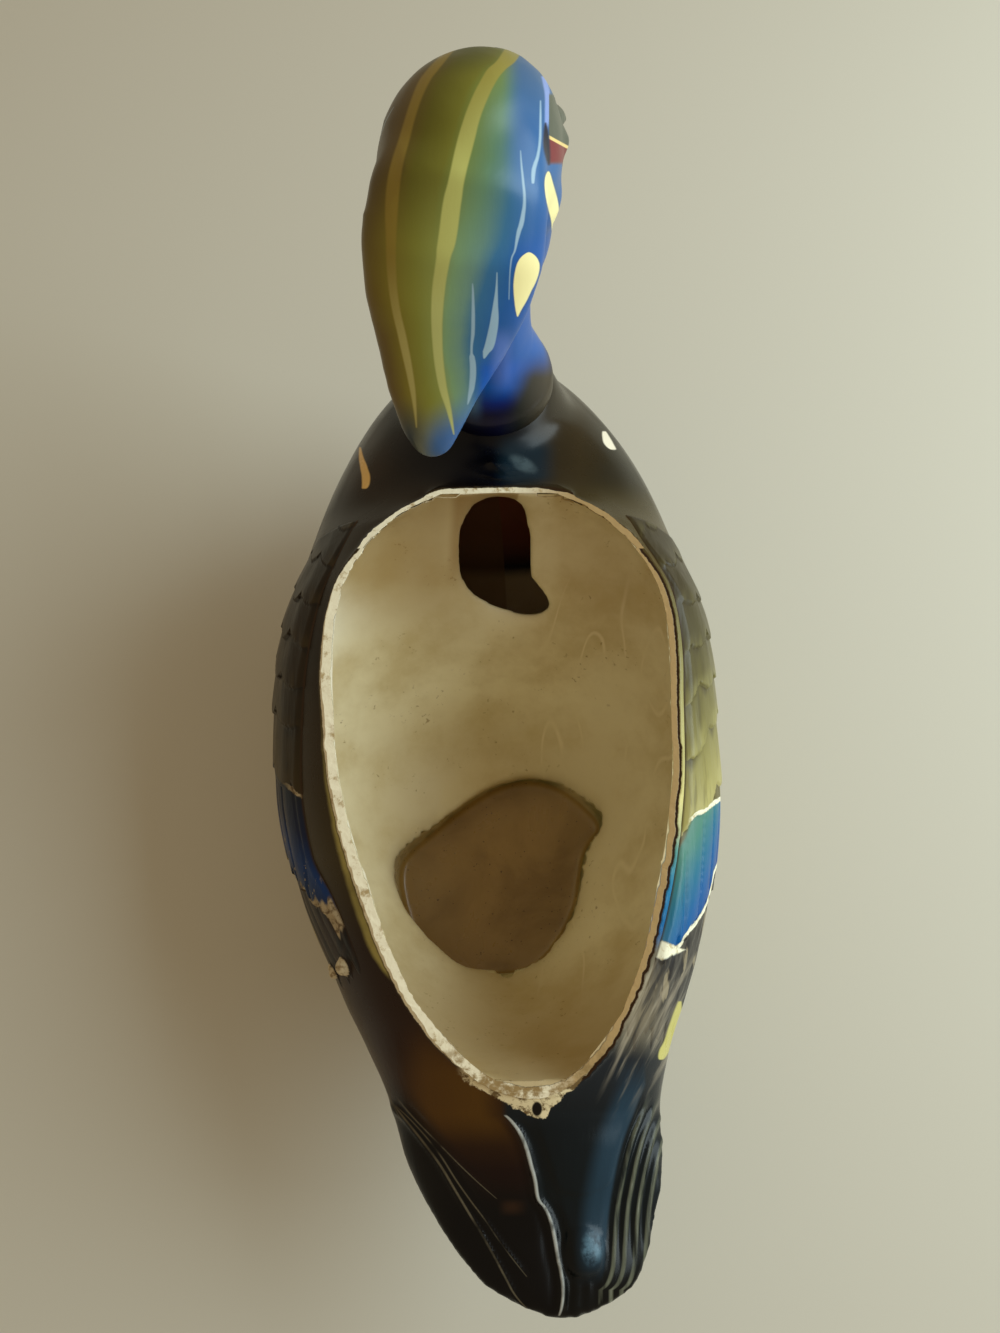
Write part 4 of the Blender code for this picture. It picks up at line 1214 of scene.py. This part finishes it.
split = less(U, calc("MINIMUM", quill_line, 560))
colour = over(left_back_with_shade, right_back_with_light, soft(split, -6, 4))
colour = brush(colour, (84, 54, 8), soft(plus(V, 30, wander), 1010, 1080), soft(V, 1150, 1110),
               soft(split, 0, -30), soft(U, 392, 430))
colour = brush(colour, (6, 4, 4), soft(V, 1060, 1120), soft(less(plus(404, 0.72, less(V, 1100)), U), -22, 6))
colour = brush(colour, (4, 3, 4), soft(V, 1178, 1215), soft(split, -2, -8))
# a warm painted highlight on the rump, where the dark tail begins
colour = brush(colour, (60, 36, 18), soft(V, 1197, 1206), soft(V, 1218, 1208), soft(U, 496, 510),
               soft(U, 530, 512), 0.5)

# %% Shoulders, the dark collar of the neck, and a painted highlight behind it: a bluish sheen with a pale spot
PAINTED_HIGHLIGHT_AT, PAINTED_HIGHLIGHT_SIZE = (523, 464), (15, 9)

shoulder = bands(plus(U, 26, wander), (360, 44, 30, 14), (395, 22, 14, 6),
                 (440, 2, 2, 4), (500, 4, 6, 16), (525, 12, 14, 14),
                 (548, 40, 32, 18), (580, 44, 34, 14), (610, 30, 24, 6))
colour = over(colour, shoulder, both(soft(V, 505, 470), seen))
colour = brush(colour, (2, 3, 8), soft(neck, 38, 26), soft(U, 540, 505))
# a bluish painted sheen on the shoulder behind the neck, round the painted highlight
colour = brush(colour, (16, 34, 44), soft(V, 430, 452), soft(V, 490, 474), soft(U, 490, 512),
               soft(U, 562, 536))
painted_highlight = oval(U, plus(V, -0.4, less(U, PAINTED_HIGHLIGHT_AT[0])), PAINTED_HIGHLIGHT_AT, PAINTED_HIGHLIGHT_SIZE)
colour = brush(colour, (70, 86, 92), soft(painted_highlight, 1.3, 0.1), seen, soft(grain(150, 3, 0.6), 0.3, 0.7))

# %% Sides that the photo doesn't show: gold flank and cream belly
FLANK_GRAIN = (1, 0.5, 3)

gold = brush(tint(176, 146, 76), (120, 92, 40), soft(grain(190, 3, 0.6, stretch=FLANK_GRAIN), 0.42, 0.6))
low = plus(girth, 14, wander)
lower = over(colour, gold, both(soft(low, 6, -6), soft(along, 74, 68), soft(along, -58, -44)))
lower = brush(lower, (206, 192, 150), soft(low, -32, -44), soft(along, 92, 70))
lower = brush(lower, (30, 34, 40), soft(along, -58, -70), soft(low, 10, 0))

# %% Chestnut breast with pale flecks, and two bars before the wings
breast = brush(tint(98, 44, 22), (60, 24, 16), soft(cloud, 0.35, 0.65))
flecks = TREE.nodes.new("ShaderNodeTexVoronoi")
flecks.inputs["Scale"].default_value = 170
lay = TREE.nodes.new("ShaderNodeMapping")
lay.inputs["Scale"].default_value = (1, 1, 0.62)
wire(spot(), lay.inputs["Vector"])
wire(lay.outputs[0], flecks.inputs["Vector"])
breast = brush(breast, (226, 206, 150), soft(flecks.outputs["Distance"], 0.26, 0.18))
neckward = plus(level, -1.25, less(along, 97))
front = both(soft(plus(along, 8, wander), 90, 97), soft(neckward, 100, 86))
lower = over(lower, breast, front)
on_side = (soft(girth, 26, 20), soft(low, -36, -30))
lower = brush(lower, (232, 222, 186), soft(along, 78.5, 80), soft(along, 89, 87.5), *on_side)
lower = brush(lower, (14, 12, 14), soft(along, 71, 72.5), soft(along, 78.5, 77.5), *on_side)
colour = over(colour, lower, any_of(less(1.0, seen), soft(girth, 14, 2)))

# %% Brushed quills and flutes of the tail, and a bluish painted highlight on its knob
FLUTE_RADIANS = 0.598
KNOB_HIGHLIGHT_AT, KNOB_HIGHLIGHT_SIZE = (592, 1248), (11, 18)

quills = any_of(*[stroke(U, V, line, 0.8) for line in LEFT_QUILLS])
colour = brush(colour, (92, 84, 66), quills, seen, soft(grain(120), 0.3, 0.6))
colour = brush(colour, (170, 172, 166), stroke(U, V, CENTRE_QUILL, 0.9), seen, soft(grain(150), 0.28, 0.5))
beside = less(U, follow(V, TONGUE_RIGHT))
colour = brush(colour, (34, 58, 74), soft(beside, -34, -14), soft(beside, 2, -2), soft(V, 1050, 1110),
               soft(V, 1290, 1240), seen, 0.8)
flute = calc("COSINE", both(calc("ADD", beside, 2), FLUTE_RADIANS))
right_tail = both(soft(beside, 1, 5), soft(V, 1080, 1150), seen)
colour = brush(colour, (92, 94, 78), right_tail, soft(flute, -0.2, 0.9), soft(barbs, 0.3, 0.6))
colour = brush(colour, (150, 152, 138), right_tail, soft(flute, 0.7, 1.0), soft(barbs, 0.56, 0.72),
               soft(V, 1140, 1180))
# a bluish painted highlight on the knob
knob = soft(calc("SQRT", oval(U, V, KNOB_HIGHLIGHT_AT, KNOB_HIGHLIGHT_SIZE)), 1.2, 0.5)
colour = brush(colour, (92, 124, 142), knob, soft(grain(240, 4, 0.7), 0.35, 0.6), seen, 0.85)

# %% The olive-yellow band that runs beside the rim, widest towards the rear of the left side
YELLOW_BAND = [(600, 0.4), (700, 1.2), (780, 2.0), (860, 3.2), (940, 3.8), (965, 2.8), (985, 0.0)]

band = both(soft(less(rim, follow(V, YELLOW_BAND)), 1.0, -1.0), soft(V, 600, 700), soft(V, 985, 970))
colour = brush(colour, (176, 164, 92), band, soft(side, 0, -0.3), soft(wander, -0.35, 0.05), 0.9)

# %% Long light streaks on the right of the rump, a painted highlight over them, and one gold feather that shows under the wing
GOLD_FEATHER = [(680, 1001, 1.5), (676, 1020, 5), (671, 1040, 6.5), (664, 1052, 5), (661, 1060, 1.5)]


def rump_streaks(colour, U, V, seen):
    """These run from the hull onto the right wing, so both paints use them."""
    comb = combed(V, plus(U, 0.5, less(V, 950)), 9.0, 0.12, 4)
    place = both(soft(V, 948, 980), soft(V, 1130, 1030), soft(U, 592, 622), seen)
    # a broad painted highlight over the streaks
    colour = brush(colour, (140, 128, 104), soft(U, 672, 640), soft(V, 1062, 1010), place, 0.7)
    colour = brush(colour, (172, 160, 138), soft(comb, 0.5, 0.68), place, 0.55)
    colour = brush(colour, (22, 25, 32), soft(comb, 0.47, 0.34), place, 0.65)
    return brush(colour, (196, 188, 108), stroke(U, V, GOLD_FEATHER, 1.2), seen)


colour = rump_streaks(colour, U, V, seen)

# %% The bare edge lies between two broken lines, further in at the front
right_side, front_end = soft(side, 0.0, 0.4), soft(along, 46, 76)
ragged = plus(rim, 0.9, less(grain(420, 4, 0.7), 0.5))
widened = both(soft(side, -0.1, -0.5), soft(V, 560, 700), soft(V, 1080, 1040))
outer_line = plus(between(between(0.25, -1.0, right_side), -1.9, front_end), 0.9, widened)
inner_line = between(between(-2.3, -2.5, right_side), -3.9, front_end)
from_outer, from_inner = less(ragged, outer_line), less(ragged, inner_line)
bare = both(soft(from_outer, 0.15, -0.1), soft(from_inner, -0.2, 0.1))
lip = both(soft(V, 493, 495), soft(V, 520, 510), soft(U, 432, 436), soft(U, 572, 568), seen)
within = any_of(soft(inside, 0.35, 0.65), soft(from_inner, 0.0, -0.3), lip)

# %% The cream inside, darker towards the bottom, with painted shade on its front, rear and right walls and a painted pool of light on its left wall
cream = brush(tint(232, 220, 182), (206, 188, 142), soft(cloud, 0.35, 0.75))
# darker towards the bottom
cream = brush(cream, (166, 138, 86), soft(plus(level, 26, wander), 40, 16), 0.35)
# painted shade on the front wall left of the channel, on the rear wall and on the right wall
cream = brush(cream, (150, 118, 66), soft(V, 650, 560), soft(U, 480, 420), 0.4)
cream = brush(cream, (164, 136, 84), soft(along, 40, 66), between(0.25, 0.6, soft(side, 0.1, -0.3)))
cream = brush(cream, (160, 130, 76), soft(along, -30, -66), 0.6)
cream = brush(cream, (146, 116, 66), soft(side, 0.25, 0.75), soft(along, -40, 10), 0.15)
# a painted pool of light on the left wall
cream = brush(cream, (255, 252, 232), soft(side, -0.35, -0.7), soft(level, 58, 84), soft(along, -50, -20),
              soft(along, 62, 40), 0.9)

# %% Faint drips and specks in the cream, the red clay beyond the drain hole with painted light at its top and painted shade below, and painted shade in the channel
drips = soft(apart(combed(V, U, 2.6, 0.024, 0.4), 0.5), 0.022, 0.0)
cream = brush(cream, (250, 238, 206), drips, soft(side, 0.0, 0.3), soft(V, 560, 640), soft(V, 1010, 940),
              soft(cloud, 0.46, 0.66), 0.4)
cream = brush(cream, (128, 98, 52), soft(fine, 0.62, 0.72), soft(grain(60), 0.5, 0.62), 0.6)
# deep in the drain hole: red clay with painted light at its top and painted shade, nearly black, below
hole_wall_light_and_shade = bands(V, (505, 170, 96, 52), (542, 130, 66, 32), (566, 14, 5, 2))
cream = over(cream, hole_wall_light_and_shade, soft(along, 86, 91))
# painted shade in the channel above the drain hole
cream = brush(cream, (140, 104, 48), soft(side, 0.10, 0.085), soft(side, -0.26, -0.2), soft(along, 60, 70), 0.6)
colour = over(colour, cream, within)

# %% The clay itself, darker on the right as painted shade, with a dark line outside it
clay = brush(tint(240, 230, 200), (180, 156, 112), soft(grain(300, 4, 0.7), 0.52, 0.7))
# painted shade: the bare clay on the right side is darker
clay = brush(clay, (176, 146, 98), right_side)
clay = brush(clay, (150, 124, 80), soft(along, -62, -72), soft(grain(260, 4, 0.7), 0.4, 0.6))
# a dark line along the rim's outer edge, darker on the right
colour = brush(colour, (44, 24, 6), soft(apart(from_outer, 0.35), 0.55, 0.25), right_side)
colour = brush(colour, (66, 52, 30), soft(apart(from_outer, 0.2), 0.4, 0.15), soft(side, 0.3, -0.1), 0.6)
colour = over(colour, clay, bare)

# %% Crumbs of plaster at the rear, with a hole painted as a dark spot of shade, and two old chips on the shoulders
CRUMBS = [(455, 1074), (478, 1088), (500, 1101), (520, 1110), (532, 1117), (544, 1119), (552, 1107),
          (562, 1098), (578, 1084), (600, 1048)]
PIT_SHADE_AT, PIT_SHADE_SIZE = (537, 1109), (5, 7)
LEFT_CHIP = [(360, 447, 0.8), (361, 456, 2.0), (364, 468, 3.6), (366, 480, 4.0), (364, 489, 1.5)]
RIGHT_CHIP = [(604, 431, 1.5), (606, 437, 3.5), (609, 444, 4.5), (614, 450, 1.5)]

crumbly = both(less(grain(340, 4, 0.75), 0.5), 14.0)
crumbs = both(soft(calc("ADD", less(V, follow(U, CRUMBS)), crumbly), 1, -1), soft(V, 1040, 1060),
              soft(from_outer, -0.2, 0.1), soft(rim, 9, 7), soft(U, 455, 470), soft(U, 604, 590), seen)
plaster = brush(tint(226, 210, 168), (110, 88, 54), soft(grain(300, 4, 0.7), 0.46, 0.6))
colour = over(colour, plaster, crumbs)
# painted shade: the hole in the crumbs is a near-black oval
colour = brush(colour, (16, 11, 8), soft(oval(U, V, PIT_SHADE_AT, PIT_SHADE_SIZE), 1.4, 0.7), seen)
for chip, old_clay in ((LEFT_CHIP, (232, 190, 112)), (RIGHT_CHIP, (240, 230, 206))):
    colour = brush(colour, old_clay, stroke(U, V, chip, 1.0), seen, soft(V, 495, 490))

# %% Glaze the hull, rough where the clay is bare
dress(shell, hull_paint)
wire(colour, shader.inputs["Base Color"])
rough = calc("MAXIMUM", soft(cloud, 0.3, 0.7, 0.2, 0.34), both(bare, 0.8))
rough = between(rough, 0.42, both(within, less(1.0, bare)))
glaze(shader, rough, 1.3)
relief = calc("ADD", both(barbs, both(soft(V, 1000, 1080), 0.5)), both(bare, fine, 0.8))
bump(shader, relief, 0.35, 0.0006)

# %% [markdown]
# ## The feathers' paint
# The coverts go from dark olive to straw, each with a darker root and a pale brushed edge. The speculum runs from
# teal to deep blue, and the primaries are charcoal with fine streaks. The left wing is painted darker all over as
# painted shade, and the right wing's straw is partly painted light. On the left wing age has taken flakes of
# glaze away down to the clay.

# %% Outline of the speculum, in stencil numbers
PATCH_SIDE = [(803, 712), (812, 705), (815, 697), (820, 692), (838, 685), (850, 678), (870, 668), (885, 659),
              (900, 655), (925, 650), (944, 648)]
PATCH_FRONT = [(640, 850), (680, 826), (692, 820), (697, 815), (705, 812), (716, 803), (730, 797)]
PATCH_REAR = [(640, 945), (660, 947), (679, 944), (685, 934), (692, 925), (698, 918), (706, 903), (711, 886),
              (715, 868), (730, 840)]


# %% Coverts
def covert_colour(back, height, barbs, left):
    """The rows of small feathers, each with a darker root and a pale brushed edge."""
    # the left wing's darker tones are painted shade; the right wing's straw is partly painted light
    if left:
        tone = bands(back, (0, 20, 12, 2), (30, 36, 24, 6), (60, 38, 28, 6), (80, 58, 46, 16))
        pale, dark = tint(66, 52, 20), tint(12, 7, 1)
    else:
        tone = bands(back, (-8, 48, 38, 14), (12, 54, 44, 16), (34, 74, 66, 30), (48, 100, 92, 46),
                     (62, 128, 120, 66), (80, 172, 162, 96))
        pale, dark = brush(tint(96, 88, 48), (186, 178, 112), soft(back, 20, 70)), tint(58, 48, 18)
    colour = over(tone, dark, both(soft(height, 0.34, 0.02), 0.75))
    colour = over(colour, pale, both(soft(height, 0.72, 1.1), soft(barbs, 0.4, 0.62), 0.5))
    return over(colour, dark, both(soft(barbs, 0.52, 0.7), 0.4))


# %% Speculum and primaries
def speculum_colour(back, angle, wander, barbs, left):
    """The broad blue feathers, which start as teal on the right wing."""
    # the left speculum is painted darker, as painted shade
    if left:
        patch = bands(back, (78, 12, 22, 34), (90, 8, 26, 60), (100, 12, 52, 108), (108, 16, 40, 76))
    else:
        patch = bands(plus(plus(back, -0.55, angle), 6, wander), (56, 90, 132, 116), (64, 72, 128, 114),
                      (74, 30, 108, 136), (84, 4, 90, 152), (96, 2, 68, 140))
        patch = brush(patch, (104, 138, 132), soft(angle, 42, 50))
    return brush(patch, (14, 30, 60), soft(barbs, 0.56, 0.7), 0.25)


def primary_colour(back, barbs, left):
    """The long feathers behind them, charcoal with fine streaks."""
    # the left primaries are painted darker, as painted shade
    if left:
        return brush(tint(38, 22, 10), (12, 7, 5), soft(barbs, 0.4, 0.6))
    quill = brush(tint(74, 70, 64), (40, 38, 38), soft(barbs, 0.4, 0.6))
    quill = brush(quill, (138, 126, 102), soft(barbs, 0.6, 0.68), soft(back, 108, 116))
    return brush(quill, (34, 38, 42), soft(back, 122, 142))


# %% Feather paint
PATCH_FROM = 78.6


def feather_paint(name, left):
    """Paint of one wing: the left one is darker, as painted shade, and more worn; the right one is lighter,
    partly as painted light, and follows the outline above.
    """
    paint, shader = start_paint(name)
    U, V, seen = number("across"), number("down"), number("seen")
    back, angle, height = number("along"), number("angle"), number("row_height")
    tail_gap, top_gap = number("end_gap"), number("top_gap")
    cloud, fine = grain(60, 4, 0.6), grain(700, 3, 0.6)
    barbs = grain(330, 3, 0.6, stretch=(1.0, 0.14, 0.6), turn=(0, 0, -0.2))
    wander = less(cloud, 0.5)
    on_patch = both(soft(back, PATCH_FROM, 79.4), soft(tail_gap, 0.2, -0.3))
    behind = soft(tail_gap, -0.1, 0.4)
    edge_noise = plus(0, 3.2, less(grain(330, 4, 0.7), 0.5))
    front_chip = soft(calc("ABSOLUTE", calc("ADD", less(back, PATCH_FROM), edge_noise)), 0.9, 0.35)
    rear_chip = soft(calc("ABSOLUTE", calc("ADD", tail_gap, edge_noise)), 1.0, 0.4)
    if left:
        # chips at its ends and flakes over its primaries, down to stained clay
        corner = soft(calc("ADD", apart(tail_gap, -1), apart(angle, 31)), 5.5, 4)
        chips = any_of(both(front_chip, soft(angle, 20, 26)), both(rear_chip, soft(angle, 14, 20)), corner)
        flakes = both(soft(grain(210, 5, 0.75, stretch=(1.6, 0.7, 1)), 0.56, 0.6), soft(back, 96, 100),
                      soft(tail_gap, 1, 0), soft(angle, 32, 24))
        chips = any_of(chips, flakes)
        clay = brush(tint(176, 160, 128), (110, 92, 66), soft(fine, 0.45, 0.65))
    else:
        # where the photo shows this wing, the drawn outline of the speculum takes over
        nick = both(less(grain(260, 4, 0.7), 0.5), 7.0)
        front_gap = calc("ADD", less(V, follow(U, PATCH_FRONT)), nick)
        rear_gap = calc("ADD", less(follow(U, PATCH_REAR), V), nick)
        side_gap = less(U, follow(V, PATCH_SIDE))
        drawn = both(soft(front_gap, -0.8, 0.8), soft(rear_gap, -0.8, 0.8), soft(side_gap, -2.5, 2.5))
        on_patch = between(on_patch, drawn, seen)
        behind = between(behind, both(soft(rear_gap, 0.8, -0.8), soft(V, 800, 812)), seen)
        front_line = soft(calc("ABSOLUTE", calc("ADD", front_gap, 1.5)), 3.0, 1.6)
        rear_line = soft(calc("ABSOLUTE", calc("ADD", rear_gap, 2.0)), 3.2, 1.8)
        front_chip = between(front_chip, both(front_line, soft(U, 688, 694)), seen)
        rear_chip = between(rear_chip, both(rear_line, soft(U, 674, 680)), seen)
        big_chip = soft(calc("ADD", both(apart(U, 662), 0.42),
                             calc("ABSOLUTE", calc("ADD", less(V, 950), nick))), 11, 8.5)
        chips = both(any_of(any_of(front_chip, both(big_chip, seen)), rear_chip), soft(angle, 7, 11))
        clay = brush(tint(246, 242, 214), (206, 190, 146), soft(fine, 0.5, 0.7))
    colour = over(covert_colour(back, height, barbs, left),
                  speculum_colour(back, angle, wander, barbs, left), on_patch)
    colour = over(colour, primary_colour(back, barbs, left), behind)
    flank = brush(tint(196, 176, 96), (128, 104, 46), soft(grain(190, 3, 0.6, stretch=FLANK_GRAIN), 0.42, 0.6))
    colour = over(colour, flank, both(soft(plus(angle, 5, wander), 6, 2), soft(back, 30, 44)))
    colour = over(colour, clay, chips)
    colour = brush(colour, (56, 34, 10), soft(top_gap, 1.0, 0.3), soft(back, 126, 110), 0.85)
    if not left:
        colour = rump_streaks(colour, U, V, seen)
    plaster = soft(number("lump"), 0.02, 0.2)
    colour = over(colour, brush(tint(206, 192, 158), (150, 130, 96), soft(fine, 0.45, 0.65)), plaster)
    wire(colour, shader.inputs["Base Color"])
    glaze(shader, calc("MAXIMUM", soft(cloud, 0.3, 0.7, 0.28, 0.4), both(any_of(chips, plaster), 0.75)), 1.34)
    bump(shader, less(barbs, both(chips, 0.9)), 0.4, 0.0005)
    return paint


dress(right_wing, feather_paint("straw_and_teal_feathers", False))
dress(left_wing, feather_paint("worn_feathers_in_painted_shade", True))

# %% [markdown]
# ## The foot's glaze
# Moss-coloured glaze pooled in the hollows of the foot over cream clay. Its inside is the bottom of the well,
# which the stencil's point sees through the hole; there it is painted a darker brown as painted shade, masked by
# that and by height, with a few dark spots.

# %% Foot glaze
moss_paint, shader = start_paint("moss_and_cream_glaze")
cloud = grain(38, 5, 0.6, 0.4)
level = number("height")
colour = brush(tint(196, 178, 132), (120, 116, 66), soft(cloud, 0.42, 0.62))
colour = brush(colour, (74, 76, 40), soft(cloud, 0.58, 0.74), soft(level, 26, 6))
# painted shade: the bottom of the well is a darker brown
well = both(soft(number("seen"), 0.3, 0.8), soft(level, 9, 6))
colour = over(colour, brush(tint(160, 128, 70), (132, 102, 50), soft(cloud, 0.4, 0.7)), well)
colour = brush(colour, (64, 44, 22), well, soft(grain(900, 2, 0.5), 0.7, 0.74), 0.8)
dress(foot, moss_paint)
wire(colour, shader.inputs["Base Color"])
glaze(shader, soft(cloud, 0.3, 0.7, 0.25, 0.4))
bump(shader, cloud, 0.2, 0.001)

# %% [markdown]
# ## Hand the pieces over
# Every piece stands for the measured castings that it was copied from or laid over, and rides on the one body.

# %% Ride and replace
for piece, slot, nodes in ((shell, "body_bowl", ("body_bowl", "tail_fan")),
                           (right_wing, "wing_right", ("wing_right",)), (left_wing, "wing_left", ("wing_left",)),
                           (head, "head_and_neck", ("head_and_neck", "crest", "neck_slip_fillet")),
                           (foot, "plinth_base", ("plinth_base",))):
    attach(piece, "root")
    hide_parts(*nodes)
    print(piece.name, "stands for", nodes)
